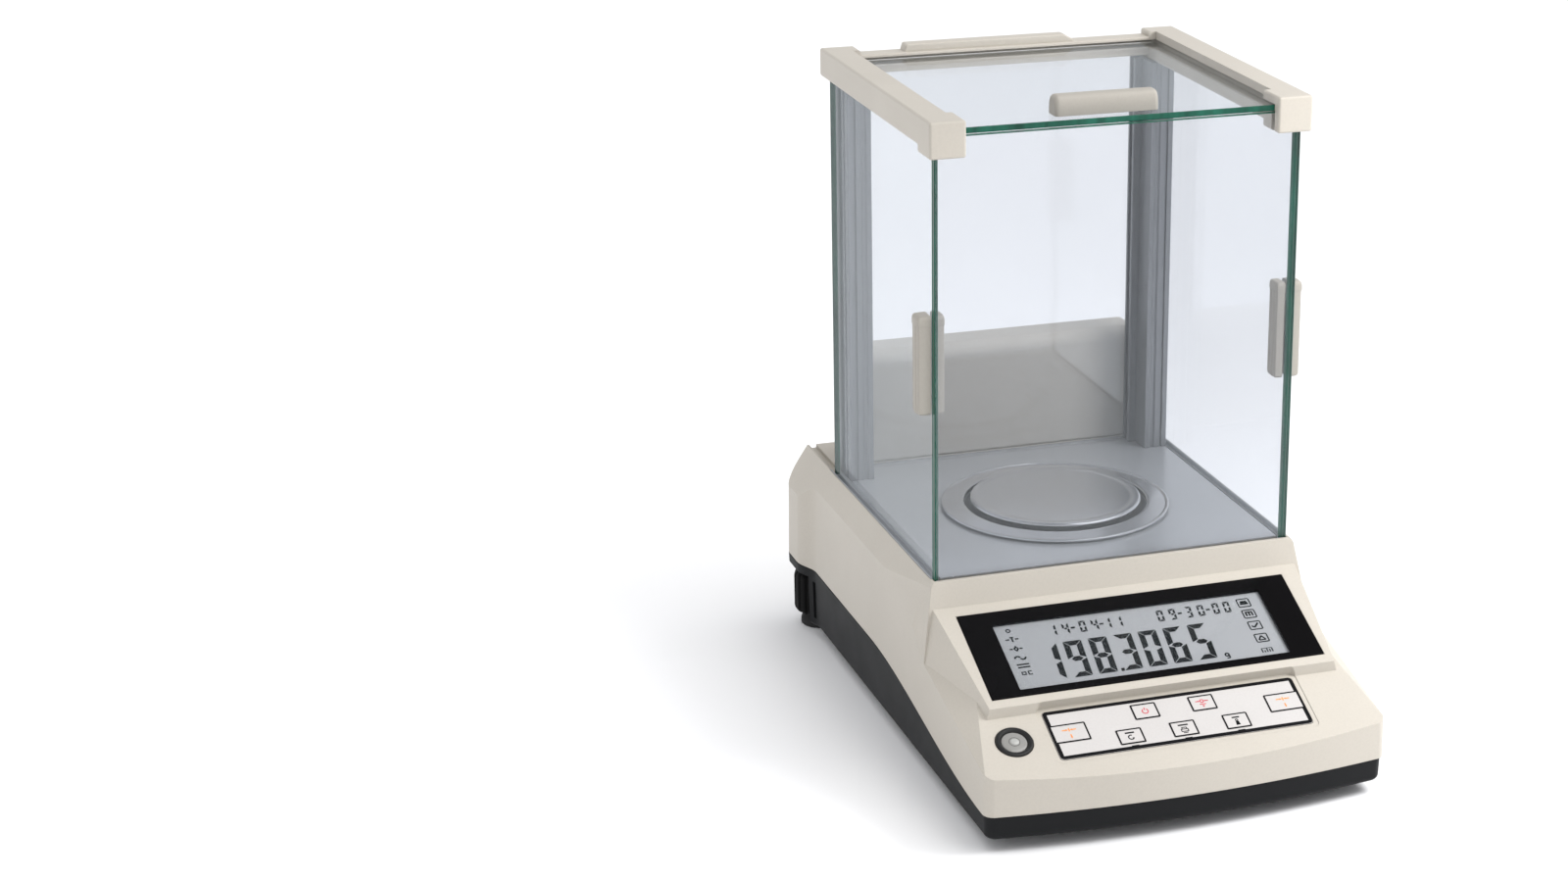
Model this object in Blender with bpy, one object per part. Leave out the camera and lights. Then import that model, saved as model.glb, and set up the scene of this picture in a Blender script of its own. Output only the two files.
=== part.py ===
"""Analytical balance: a cream housing with a sloped display and keypad, and a glass draft
shield with three sliding doors around a round weighing pan.

All sizes are in millimetres and are turned into metres where meshes are made.
+X is the operator's right, +Y is the back, +Z is up. The origin is on the table,
under the centre of the balance's outer box.
"""

import math

import bmesh
import bpy
from mathutils import Euler, Vector

MM = 0.001
GAP = 0.3

# ---- housing -------------------------------------------------------------------------------
FRONT_HALF = 105.0  # half width at the front, at the parting line
REAR_HALF = 110.5  # half width over the rear feet
DEPTH_HALF = 166.0
FRONT_BOW = 8.7  # the front edge bulges this much at its middle
FLARE_START = 124.0
FLARE_END = 143.0
CORNER_FRONT = 6.0
CORNER_REAR = 8.0
FLOOR_Z = 100.0  # weighing chamber floor above the table
BASE_Z = 6.5  # underside of the lower housing
WALL = 3.0
TOP_WALL = 5.0  # the wall under the chamber is thicker
SIDE_DRAFT = 0.988  # width at the top over the width at the parting line

PARTING_FRONT_Z = 19.5
PARTING_REAR_Z = 40.5
PARTING_RISE_START = -153.5
PARTING_RISE_LENGTH = 180.0

# ---- sloped decks --------------------------------------------------------------------------
KEYPAD_EDGE = (-159.4, 38.0)  # y and z where the keypad deck meets the front face
KEYPAD_SLOPE = math.radians(24)
DISPLAY_EDGE = (-118.2, 61.6)  # y and z of the bezel's lower edge
DISPLAY_SLOPE = math.radians(23)
DISPLAY_STEP_Y = -123.3  # front face of the raised display block

BEZEL_HALF = 87.7
BEZEL_TALL = 58.0
WINDOW_X = (-72.2, 71.2)
WINDOW_S = (4.0, 49.1)
BEZEL_THICK = 2.0

KEYPAD_X = 1.3  # the keypad sits this far right of the middle
KEYPAD_HALF = 66.0
KEYPAD_S = (8.3, 39.3)
OVERLAY_THICK = 0.8
KEY_TRAVEL = 0.4
KEY_THICK = 2.2
# name: centre from the keypad's middle, distance up the slope, width, height
KEYS = {
    "left_tare_key": (-56.2, 24.2, 18.6, 11.8),
    "right_tare_key": (56.2, 24.2, 18.6, 11.8),
    "power_key": (-15.0, 31.0, 13.4, 10.0),
    "mode_key": (15.2, 31.0, 13.4, 10.0),
    "unit_key": (-27.6, 16.6, 13.4, 9.8),
    "print_key": (0.2, 16.6, 13.4, 9.8),
    "calibrate_key": (28.0, 16.6, 13.4, 9.8),
}
LEVEL_X = -83.6
LEVEL_S = 23.4
LEVEL_R = 9.2
VIAL_R = 6.4

# ---- weighing chamber ----------------------------------------------------------------------
GLASS = 3.0
GLASS_FRONT_Y = -53.5  # front face of the front glass
GLASS_HALF = 95.0  # outer faces of the door glasses
FLOOR_HALF = 91.2
TRACK_OUTER = 96.1
CHAMBER_BACK_Y = 123.6
PAN_Y = 30.9
PAN_R = 45.0
PAN_TOP_Z = 105.5
RING_INNER = 48.2
RING_OUTER = 60.0
DOOR_BOTTOM_Z = 98.5
DOOR_TOP_Z = 320.5
DOOR_BACK_Y = 117.5
TOP_GLASS_Z = 324.2
TOP_GLASS_HALF = 86.5

# ---- top frame -----------------------------------------------------------------------------
FRAME_HALF = 98.9
FRAME_TOP_Z = 331.9
RAIL_BOTTOM_Z = 317.3
BLOCK_BOTTOM_Z = 313.8
RAIL_INNER = 80.5
LIP_INNER = 84.5
FRAME_FRONT_Y = -58.4
FRAME_BACK_Y = 122.0
BLOCK_BACK_Y = -39.5
REAR_BAR_Y = (109.5, 120.0)
REAR_BAR_BOTTOM_Z = 319.3
REAR_STRIP_TOP_Z = 329.2
HUMP_X = (-55.0, 33.0)
HUMP_SLANT = 8.0
HUMP_TOP_Z = 333.0

# ---- posts and rear glass ------------------------------------------------------------------
POST_OUTER = 91.3
POST_INNER = 78.4
POST_REAR_INNER = 74.1
POST_Y = (99.1, 120.6)
REAR_GLASS_Y = 115.4
REAR_GLASS_HALF = 77.6

# ---- door handles --------------------------------------------------------------------------
HANDLE_Y = (-48.6, -37.4)
HANDLE_Z = (184.5, 234.5)
OUTER_GRIP = 7.0
INNER_GRIP = 4.3
TOP_HANDLE_X = (-31.0, 22.5)
TOP_HANDLE_Y = (-45.5, -34.5)
TOP_HANDLE_TALL = 9.6

# ---- feet ----------------------------------------------------------------------------------
KNOB_X = 94.3
KNOB_Y = 150.5
KNOB_R = 14.6
KNOB_Z = (8.0, 31.5)
NOTCH_X = 76.0
NOTCH_Y = 132.0
NOTCH_TOP_Z = 35.2
STUD_R = 3.0
PAD_R = 11.0
FRONT_FOOT = (72.0, -130.0)
FRONT_FOOT_R = 12.0

# ---- rear connectors -----------------------------------------------------------------------
POWER_X = 62.0
DATA_X = 24.0
CONNECTOR_Z = 60.0
REAR_COVER_HALF = 82.0
REAR_COVER_Y = (124.3, 151.5)
REAR_COVER_TOP_Z = 163.0
REAR_COVER_ROUND = 7.0
REAR_COVER_WALL = 2.5

SCREWS = [(-86.0, -105.0), (86.0, -105.0), (-84.0, 95.0), (84.0, 95.0)]
BIG = 400.0


# ============================================================================================
# Mesh tools: every argument is in millimetres
# ============================================================================================

def clear_scene():
    for obj in list(bpy.data.objects):
        bpy.data.objects.remove(obj, do_unlink=True)


def make_material(name, colour, roughness, metallic=0.0, alpha=1.0):
    material = bpy.data.materials.new(name)
    material.use_nodes = True
    shader = material.node_tree.nodes["Principled BSDF"]
    shader.inputs["Base Color"].default_value = (*colour, 1.0)
    shader.inputs["Roughness"].default_value = roughness
    shader.inputs["Metallic"].default_value = metallic
    shader.inputs["Alpha"].default_value = alpha
    return material


def make_object(name, bm, material=None, origin=(0, 0, 0), turn=(0, 0, 0)):
    """An object from a bmesh in millimetres, measured in the object's own frame."""
    bmesh.ops.recalc_face_normals(bm, faces=bm.faces)
    bmesh.ops.scale(bm, vec=(MM, MM, MM), verts=bm.verts)
    mesh = bpy.data.meshes.new(name)
    bm.to_mesh(mesh)
    bm.free()
    obj = bpy.data.objects.new(name, mesh)
    obj.location = Vector(origin) * MM
    obj.rotation_euler = Euler(turn)
    bpy.context.scene.collection.objects.link(obj)
    if material:
        mesh.materials.append(material)
    return obj


def prism(outline, low, high, axis="Z", high_scale=(1.0, 1.0)):
    """A closed prism over a flat outline. The outline holds the two other coordinates in order."""
    place = {
        "X": lambda u, v, w: (w, u, v),
        "Y": lambda u, v, w: (u, w, v),
        "Z": lambda u, v, w: (u, v, w),
    }[axis]
    bm = bmesh.new()
    lower = [bm.verts.new(place(u, v, low)) for u, v in outline]
    upper = [bm.verts.new(place(u * high_scale[0], v * high_scale[1], high)) for u, v in outline]
    bm.faces.new(lower)
    bm.faces.new(upper)
    count = len(outline)
    for i in range(count):
        j = (i + 1) % count
        bm.faces.new((lower[i], lower[j], upper[j], upper[i]))
    return bm


def rectangle(u0, u1, v0, v1):
    return [(u0, v0), (u1, v0), (u1, v1), (u0, v1)]


def box(x, y, z):
    return prism(rectangle(*x, *y), *z)


def rounded_rectangle(half_u, half_v, radius, steps=4, centre=(0.0, 0.0)):
    points = []
    for sign_u, sign_v, start in ((1, 1, 0), (-1, 1, 90), (-1, -1, 180), (1, -1, 270)):
        for i in range(steps + 1):
            angle = math.radians(start + 90 * i / steps)
            points.append((
                centre[0] + sign_u * (half_u - radius) + radius * math.cos(angle),
                centre[1] + sign_v * (half_v - radius) + radius * math.sin(angle),
            ))
    return points


def turned(profile, segments=40, centre=(0.0, 0.0)):
    """A solid of revolution about +Z from (radius, z) points. The profile is a closed loop,
    or it starts and ends on the axis."""
    bm = bmesh.new()
    rings = []
    for radius, z in profile:
        if radius < 1e-6:
            rings.append([bm.verts.new((centre[0], centre[1], z))])
            continue
        ring = []
        for i in range(segments):
            angle = 2 * math.pi * i / segments
            ring.append(bm.verts.new((
                centre[0] + radius * math.cos(angle),
                centre[1] + radius * math.sin(angle),
                z,
            )))
        rings.append(ring)
    on_axis = len(rings[0]) == 1
    pairs = list(zip(rings, rings[1:]))
    if not on_axis:
        pairs.append((rings[-1], rings[0]))
    for first, second in pairs:
        for i in range(segments):
            j = (i + 1) % segments
            corners = [first[i % len(first)], first[j % len(first)],
                       second[j % len(second)], second[i % len(second)]]
            unique = list(dict.fromkeys(corners))
            bm.faces.new(unique)
    return bm


def disc(radius, low, high, segments=40, centre=(0.0, 0.0)):
    return turned([(0, low), (radius, low), (radius, high), (0, high)], segments, centre)


def convex(planes, shrink=0.0, size=BIG):
    """The solid inside every plane, where a plane is (point, outward normal, extra inset)."""
    bm = bmesh.new()
    bmesh.ops.create_cube(bm, size=2 * size)
    for point, normal, extra in planes:
        outward = Vector(normal).normalized()
        inset = shrink + (extra if shrink else 0.0)
        cut = bmesh.ops.bisect_plane(
            bm,
            geom=bm.verts[:] + bm.edges[:] + bm.faces[:],
            plane_co=Vector(point) - outward * inset,
            plane_no=outward,
            clear_outer=True,
        )
        edges = [e for e in cut["geom_cut"] if isinstance(e, bmesh.types.BMEdge)]
        if edges:
            bmesh.ops.contextual_create(bm, geom=edges)
    return bm


def plane_through(a, b, c, outside):
    """A plane through three points whose normal points towards `outside`."""
    a, b, c = Vector(a), Vector(b), Vector(c)
    normal = (b - a).cross(c - a)
    if normal.dot(Vector(outside) - a) < 0:
        normal = -normal
    return a, normal, 0.0


def mirrored(plane):
    point, normal, extra = plane
    return (
        Vector((-point[0], point[1], point[2])),
        Vector((-normal[0], normal[1], normal[2])),
        extra,
    )


def bevel(obj, width, segments=2, angle=30):
    modifier = obj.modifiers.new("edges", "BEVEL")
    modifier.width = width * MM
    modifier.segments = segments
    modifier.limit_method = "ANGLE"
    modifier.angle_limit = math.radians(angle)
    modifier.use_clamp_overlap = True


def combine(target, operand, operation="DIFFERENCE"):
    """Joins the operand to the target, or cuts it away, and keeps it as a hidden guide."""
    modifier = target.modifiers.new(operand.name, "BOOLEAN")
    modifier.operation = operation
    modifier.solver = "EXACT"
    modifier.object = operand
    operand.hide_render = True
    operand.display_type = "WIRE"


def cut(target, bm, name, origin=(0, 0, 0), turn=(0, 0, 0)):
    combine(target, make_object(name, bm, None, origin, turn))


def join(target, bm, name, origin=(0, 0, 0), turn=(0, 0, 0)):
    combine(target, make_object(name, bm, None, origin, turn), "UNION")


def shade_round(obj, angle=35):
    obj.data.shade_smooth()
    obj.data.set_sharp_from_angle(angle=math.radians(angle))


KEYPAD_FRAME = {"origin": (0, *KEYPAD_EDGE), "turn": (KEYPAD_SLOPE, 0, 0)}
DISPLAY_FRAME = {"origin": (0, *DISPLAY_EDGE), "turn": (DISPLAY_SLOPE, 0, 0)}


def on_keypad(x, s, height=0.0):
    """The world place, in millimetres, of a point on the keypad deck."""
    return (
        x,
        KEYPAD_EDGE[0] + s * math.cos(KEYPAD_SLOPE) - height * math.sin(KEYPAD_SLOPE),
        KEYPAD_EDGE[1] + s * math.sin(KEYPAD_SLOPE) + height * math.cos(KEYPAD_SLOPE),
    )


def parting_z(y):
    t = min(max((y - PARTING_RISE_START) / PARTING_RISE_LENGTH, 0.0), 1.0)
    return PARTING_FRONT_Z + (PARTING_REAR_Z - PARTING_FRONT_Z) * t * t * (3 - 2 * t)


def mirror_points(points):
    """Closes a right-hand half outline, given from front to back, with its mirror image."""
    return points + [(-x, y) for x, y in reversed(points)]


def base_outline(inset=0.0, flared=True):
    """Plan of the housing: bowed front, straight sides, wider over the rear feet."""
    half = FRONT_HALF - inset
    rear_half = (REAR_HALF if flared else FRONT_HALF) - inset
    back = DEPTH_HALF - inset
    right = []
    bow_steps = 7
    reach = half - CORNER_FRONT
    for i in range(bow_steps):
        x = reach * (i + 0.5) / (bow_steps - 0.5)
        right.append((x, -DEPTH_HALF + inset + FRONT_BOW * (x / FRONT_HALF) ** 2))
    corner_y = right[-1][1] + CORNER_FRONT
    for degrees in (-55, -25, 0):
        angle = math.radians(degrees)
        right.append((
            reach + CORNER_FRONT * math.cos(angle),
            corner_y + CORNER_FRONT * math.sin(angle),
        ))
    if flared:
        for i in range(5):
            t = i / 4
            ease = t * t * (3 - 2 * t)
            right.append((
                half + (rear_half - half) * ease,
                FLARE_START + (FLARE_END - FLARE_START) * t,
            ))
    for degrees in (0, 30, 60, 90):
        angle = math.radians(degrees)
        right.append((
            rear_half - CORNER_REAR + CORNER_REAR * math.cos(angle),
            back - CORNER_REAR + CORNER_REAR * math.sin(angle),
        ))
    return mirror_points(right)


# ============================================================================================
# Upper housing
# ============================================================================================

def deck_normal(slope):
    return (0, -math.sin(slope), math.cos(slope))


def low_deck_planes():
    """Keypad deck, the flatter strips beside the display, and the sloped outer strips."""
    strip = plane_through((105, -131.5, 44.7), (105, -55.5, 62.0), (98.5, -131.5, 50.4), (105, -100, 90))
    return [
        ((0, *KEYPAD_EDGE), deck_normal(KEYPAD_SLOPE), 0.0),
        ((0, -103.5, 62.9), deck_normal(math.radians(8)), 0.0),
        strip,
        mirrored(strip),
        ((0, -40, 0), (0, 1, 0), 0.0),
    ]


def display_block_planes():
    """The raised block that carries the display. It widens towards the back."""
    rise = math.tan(DISPLAY_SLOPE)
    front_z = DISPLAY_EDGE[1] + (DISPLAY_STEP_Y - DISPLAY_EDGE[0]) * rise
    back_z = DISPLAY_EDGE[1] + (-62.5 - DISPLAY_EDGE[0]) * rise
    lean = math.radians(15)
    front_top = Vector((91.0, DISPLAY_STEP_Y, front_z))
    back_top = Vector((97.5, -62.5, back_z))
    lower = front_top + Vector((math.sin(lean), 0, -math.cos(lean))) * 20
    side = plane_through(front_top, back_top, lower, (140, -90, 60))
    return [
        ((0, *DISPLAY_EDGE), deck_normal(DISPLAY_SLOPE), 0.0),
        side,
        mirrored(side),
        ((0, DISPLAY_STEP_Y, 0), (0, -1, 0), 0.0),
        ((0, -45, 0), (0, 1, 0), 0.0),
    ]


def chamber_block_planes():
    """The level block under the weighing chamber, with sloped shoulders."""
    shoulder = plane_through((96.6, 0, FLOOR_Z), (104.8, 0, 87.5), (96.6, 50, FLOOR_Z), (110, 0, 120))
    corner = plane_through((104.8, 6.5, 87.5), (104.8, -55.5, 62.0), (98.0, -56.0, 98.0), (120, -60, 90))
    front = plane_through((0, -56.0, FLOOR_Z), (0, -58.3, 88.5), (10, -56.0, FLOOR_Z), (0, -90, 90))
    return [
        ((0, 0, FLOOR_Z), (0, 0, 1), TOP_WALL - WALL),
        shoulder,
        mirrored(shoulder),
        corner,
        mirrored(corner),
        front,
    ]


def housing_form(name, inset=0.0):
    """The whole outer shape above the table, or the same shape drawn in by `inset`."""
    outline = prism(base_outline(inset), -20, 120, high_scale=(SIDE_DRAFT, 0.994))
    form = make_object(name, outline)
    top = make_object(name + "_top", convex(low_deck_planes(), inset))
    join(top, convex(display_block_planes(), inset), name + "_display")
    join(top, convex(chamber_block_planes(), inset), name + "_chamber")
    combine(form, top, "INTERSECT")
    return form


def below_parting(name, drop=0.0):
    """Everything under the curved parting line between the two housings."""
    steps = 16
    points = [(-BIG, PARTING_FRONT_Z - drop)]
    for i in range(steps + 1):
        y = PARTING_RISE_START + PARTING_RISE_LENGTH * i / steps
        points.append((y, parting_z(y) - drop))
    points += [(BIG, PARTING_REAR_Z - drop), (BIG, -BIG), (-BIG, -BIG)]
    return make_object(name, prism(points, -BIG, BIG, axis="X"))


def build_upper_housing(material):
    body = housing_form("upper_housing")
    body.data.materials.append(material)
    bevel(body, 2.2, segments=2, angle=14)
    combine(body, below_parting("parting_cut"))
    combine(body, housing_form("housing_cavity", WALL))
    for index, (x, y) in enumerate(SCREWS):
        top = 65.0 if y < 0 else 97.0
        join(body, disc(4.2, PARTING_REAR_Z if y > 0 else 20.0, top, 16, (x, y)), f"boss_{index}")
        cut(body, disc(1.9, 0, 52, 12, (x, y)), f"boss_bore_{index}")
    cut_decks(body)
    cut_chamber_seat(body)
    cut_rear_openings(body)
    shade_round(body)
    return body


def cut_decks(body):
    """Seats and openings for the display, the keypad and the bubble level."""
    seat = (-BEZEL_HALF - GAP, BEZEL_HALF + GAP), (-GAP, BEZEL_TALL + GAP)
    cut(body, box(*seat, (-1.5, 20)), "bezel_seat", **DISPLAY_FRAME)
    opening = (WINDOW_X[0] - 6, WINDOW_X[1] + 6), (WINDOW_S[0] - 1.2, WINDOW_S[1] + 4)
    cut(body, box(*opening, (-12, 5)), "display_opening", **DISPLAY_FRAME)
    left, right = KEYPAD_X - KEYPAD_HALF - GAP, KEYPAD_X + KEYPAD_HALF + GAP
    seat = prism(rectangle(left, right, KEYPAD_S[0] - GAP, KEYPAD_S[1] + GAP), -OVERLAY_THICK + 0.1, 4)
    cut(body, seat, "keypad_seat", **KEYPAD_FRAME)
    for name, (x, s, wide, tall) in KEYS.items():
        hole = rectangle(
            KEYPAD_X + x - wide / 2 + 0.7, KEYPAD_X + x + wide / 2 - 0.7,
            s - tall / 2 + 0.7, s + tall / 2 - 0.7,
        )
        cut(body, prism(hole, -9, 2), name + "_hole", **KEYPAD_FRAME)
    cut(body, disc(LEVEL_R + GAP, -2.4, 5, 32, (LEVEL_X, LEVEL_S)), "level_seat", **KEYPAD_FRAME)
    cut(body, disc(VIAL_R + 0.6, -14, 5, 32, (LEVEL_X, LEVEL_S)), "level_hole", **KEYPAD_FRAME)


def cut_chamber_seat(body):
    """The shallow seat of the floor plate, the door grooves and the hole for the pan's column."""
    front = GLASS_FRONT_Y + GLASS + 0.1
    cut(body, box((-FLOOR_HALF - 0.1, FLOOR_HALF + 0.1), (front, CHAMBER_BACK_Y + GAP), (98.5, 110)),
        "floor_seat")
    for side in (-1, 1):
        inner, outer = sorted((side * FLOOR_HALF, side * (TRACK_OUTER + GAP)))
        cut(body, box((inner, outer), (front, POST_Y[1] + 1.2), (96.6, 110)), f"track_seat_{side}")
        groove = sorted((side * (GLASS_HALF - GLASS - 0.5), side * (GLASS_HALF + 0.5)))
        cut(body, box(groove, (POST_Y[1], BIG), (98.0, 110)), f"rear_groove_{side}")
    glass = (GLASS_FRONT_Y - 0.35, GLASS_FRONT_Y + GLASS + 0.35)
    cut(body, box((-GLASS_HALF - 0.4, GLASS_HALF + 0.4), glass, (97.8, 110)), "front_glass_slot")
    cut(body, disc(9.0, 80, 110, 32, (0, PAN_Y)), "column_hole")


def cut_rear_openings(body):
    cut(body, prism(rounded_rectangle(16, 6.6, 2, centre=(DATA_X, CONNECTOR_Z)), 150, 175, axis="Y"),
        "data_port_hole")
    hole = disc(7.9, -180, -150, 28, (POWER_X, CONNECTOR_Z))
    cut(body, hole, "power_inlet_hole", turn=(math.radians(90), 0, 0))
    for x in (-60, 60):
        cut(body, disc(3.0, 90, 110, 12, (x, 138)), f"cover_cable_hole_{x}")


# ============================================================================================
# Lower housing and feet
# ============================================================================================

def build_lower_housing(material):
    shape = prism(base_outline(0.2), 48, BASE_Z, high_scale=(0.986, 0.992))
    body = make_object("lower_housing", shape, material)
    bevel(body, 2.5, segments=2, angle=50)
    above = prism([(-BIG, 90), (BIG, 90), (BIG, 1), (-BIG, 1)], -BIG, BIG, axis="X")
    keep_out = make_object("above_parting", above)
    combine(keep_out, below_parting("parting_keep", 0.4))
    combine(body, keep_out)
    cavity = make_object("tub_cavity", prism(base_outline(WALL), BASE_Z + WALL, 90))
    for side in (-1, 1):
        x = sorted((side * (NOTCH_X - WALL), side * BIG))
        cut(cavity, box(x, (NOTCH_Y - WALL, BIG), (-10, NOTCH_TOP_Z + WALL)), f"notch_wall_{side}")
    combine(body, cavity)
    for side in (-1, 1):
        x = sorted((side * NOTCH_X, side * BIG))
        cut(body, box(x, (NOTCH_Y, BIG), (-10, NOTCH_TOP_Z)), f"foot_notch_{side}")
        cut(body, disc(STUD_R + 0.5, 20, 50, 24, (side * KNOB_X, KNOB_Y)), f"stud_hole_{side}")
    for index, (x, y) in enumerate(SCREWS):
        cut(body, disc(2.0, 0, 20, 12, (x, y)), f"screw_hole_{index}")
        cut(body, disc(4.2, 0, BASE_Z + 1.6, 20, (x, y)), f"screw_head_seat_{index}")
    shade_round(body)
    return body


def build_screws(material):
    head_top = BASE_Z + 1.3
    for index, (x, y) in enumerate(SCREWS):
        profile = [(0, BASE_Z - 0.4), (3.7, BASE_Z - 0.4), (3.7, head_top), (1.5, head_top), (1.5, 30), (0, 30)]
        obj = make_object(f"housing_screw_{index + 1}", turned(profile, 16), material, (x, y, 0))
        cut(obj, box((-2.6, 2.6), (-0.5, 0.5), (BASE_Z - 2, BASE_Z + 0.4)), f"slot_a_{index}", (x, y, 0))
        cut(obj, box((-0.5, 0.5), (-2.6, 2.6), (BASE_Z - 2, BASE_Z + 0.4)), f"slot_b_{index}", (x, y, 0))
        shade_round(obj)


def knob_outline(grips=12, depth=1.1):
    """A knurled outline: shallow scallops between round lobes."""
    points = []
    steps = grips * 4
    for i in range(steps):
        angle = 2 * math.pi * i / steps
        radius = KNOB_R - depth * (0.5 - 0.5 * math.cos(angle * grips))
        points.append((radius * math.cos(angle), radius * math.sin(angle)))
    return points


def build_feet(knob_material, pad_material):
    for side, word in ((-1, "left"), (1, "right")):
        place = (side * KNOB_X, KNOB_Y, 0)
        knob = make_object(f"rear_{word}_foot_knob", prism(knob_outline(), *KNOB_Z), knob_material, place)
        bevel(knob, 2.4, segments=2, angle=50)
        stud = [(0, 20), (STUD_R, 20), (STUD_R, 60), (STUD_R - 0.8, 61), (0, 61)]
        join(knob, turned(stud, 20), f"stud_{word}", place)
        shade_round(knob)
        low = KNOB_Z[0] - GAP
        pad = [(0, 0), (PAD_R - 1.2, 0), (PAD_R, 1.2), (PAD_R, 3.5), (PAD_R - 2.5, low), (0, low)]
        pad_obj = make_object(f"rear_{word}_foot_pad", turned(pad, 32), pad_material, place)
        shade_round(pad_obj)
        place = (side * FRONT_FOOT[0], FRONT_FOOT[1], 0)
        low = BASE_Z - GAP
        foot = [(0, 0), (FRONT_FOOT_R - 1.2, 0), (FRONT_FOOT_R, 1.2), (FRONT_FOOT_R, low), (0, low)]
        foot_obj = make_object(f"front_{word}_foot", turned(foot, 32), pad_material, place)
        shade_round(foot_obj)


# ============================================================================================
# Display and keypad
# ============================================================================================

def build_display(materials):
    frame = box((-BEZEL_HALF, BEZEL_HALF), (0, BEZEL_TALL), (-1.2, 0.5))
    bezel = make_object("display_bezel", frame, materials["gloss_black"], **DISPLAY_FRAME)
    bevel(bezel, 0.3, segments=1)
    cut(bezel, box(WINDOW_X, WINDOW_S, (-5, 5)), "bezel_window", **DISPLAY_FRAME)
    inset = 0.25
    x = (WINDOW_X[0] + inset, WINDOW_X[1] - inset)
    s = (WINDOW_S[0] + inset, WINDOW_S[1] - inset)
    make_object("display_window", box(x, s, (-1.1, 0.2)), materials["clear"], **DISPLAY_FRAME)
    x = (WINDOW_X[0] - 5, WINDOW_X[1] + 5)
    s = (WINDOW_S[0] - 0.8, WINDOW_S[1] + 3.5)
    make_object("lcd_module", box(x, s, (-7.0, -1.5)), materials["lcd"], **DISPLAY_FRAME)
    board = box((-80, 80), (WINDOW_S[0] + 2, WINDOW_S[1] + 1), (-9.0, -7.4))
    make_object("display_board", board, materials["board"], **DISPLAY_FRAME)


def key_outline(x, s, wide, tall, shrink=0.0):
    return rounded_rectangle(wide / 2 - shrink, tall / 2 - shrink, 1.0, 2, (x, s))


def build_keypad(materials):
    centre_s = sum(KEYPAD_S) / 2
    half_s = (KEYPAD_S[1] - KEYPAD_S[0]) / 2
    sheet = rounded_rectangle(KEYPAD_HALF, half_s, 1.2, 3, (KEYPAD_X, centre_s))
    overlay = make_object("keypad_overlay", prism(sheet, -OVERLAY_THICK + 0.4, 0.4), materials["overlay"],
                          **KEYPAD_FRAME)
    for name, (x, s, wide, tall) in KEYS.items():
        hole = prism(key_outline(KEYPAD_X + x, s, wide, tall), -4, 4)
        cut(overlay, hole, name + "_window", **KEYPAD_FRAME)
        build_key(name, x, s, wide, tall, materials["overlay"])
    sheet = box((KEYPAD_X - 62, KEYPAD_X + 62), (9.5, 36.5), (-6.2, -4.6))
    make_object("keypad_board", sheet, materials["board"], **KEYPAD_FRAME)


def build_key(name, x, s, wide, tall, material):
    """A key cap with a thin collar under the overlay's level and a stem through the housing."""
    cap = prism(rounded_rectangle(wide / 2 - 0.25, tall / 2 - 0.25, 0.9, 2), -0.15, 0.55)
    key = make_object(name, cap, material, on_keypad(KEYPAD_X + x, s), (KEYPAD_SLOPE, 0, 0))
    stem = box((-wide / 2 + 1.2, wide / 2 - 1.2), (-tall / 2 + 1.2, tall / 2 - 1.2), (-KEY_THICK - 1.6, 0.2))
    join(key, stem, name + "_stem", on_keypad(KEYPAD_X + x, s), (KEYPAD_SLOPE, 0, 0))
    return key


def build_level(materials):
    origin = on_keypad(LEVEL_X, LEVEL_S)
    turn = (KEYPAD_SLOPE, 0, 0)
    profile = [(VIAL_R + 0.3, -2.0), (LEVEL_R, -2.0), (LEVEL_R, 0.5), (LEVEL_R - 0.6, 1.0), (VIAL_R + 0.3, 0.7)]
    shade_round(make_object("level_ring", turned(profile, 40), materials["trim_black"], origin, turn))
    vial = [(0, -11), (VIAL_R, -11), (VIAL_R, 0.0), (VIAL_R * 0.55, 0.45), (0, 0.6)]
    shade_round(make_object("level_vial", turned(vial, 40), materials["vial"], origin, turn))


# ============================================================================================
# Weighing chamber
# ============================================================================================

def build_floor(materials):
    front = GLASS_FRONT_Y + GLASS + 0.7
    plate = make_object("chamber_floor_plate",
                        box((-FLOOR_HALF, FLOOR_HALF), (front, CHAMBER_BACK_Y), (98.8, FLOOR_Z)),
                        materials["floor_metal"])
    cut(plate, disc(9.0, 80, 110, 32, (0, PAN_Y)), "plate_hole")
    for side, word in ((-1, "left"), (1, "right")):
        x = sorted((side * (FLOOR_HALF + 0.3), side * TRACK_OUTER))
        track = make_object(f"{word}_door_track", box(x, (front, POST_Y[1] + 0.9), (96.9, FLOOR_Z + 0.2)),
                            materials["aluminium"])
        groove = sorted((side * (GLASS_HALF - GLASS - 0.4), side * (GLASS_HALF + 0.4)))
        cut(track, box(groove, (-BIG, BIG), (98.1, 110)), f"{word}_track_groove")


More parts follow.
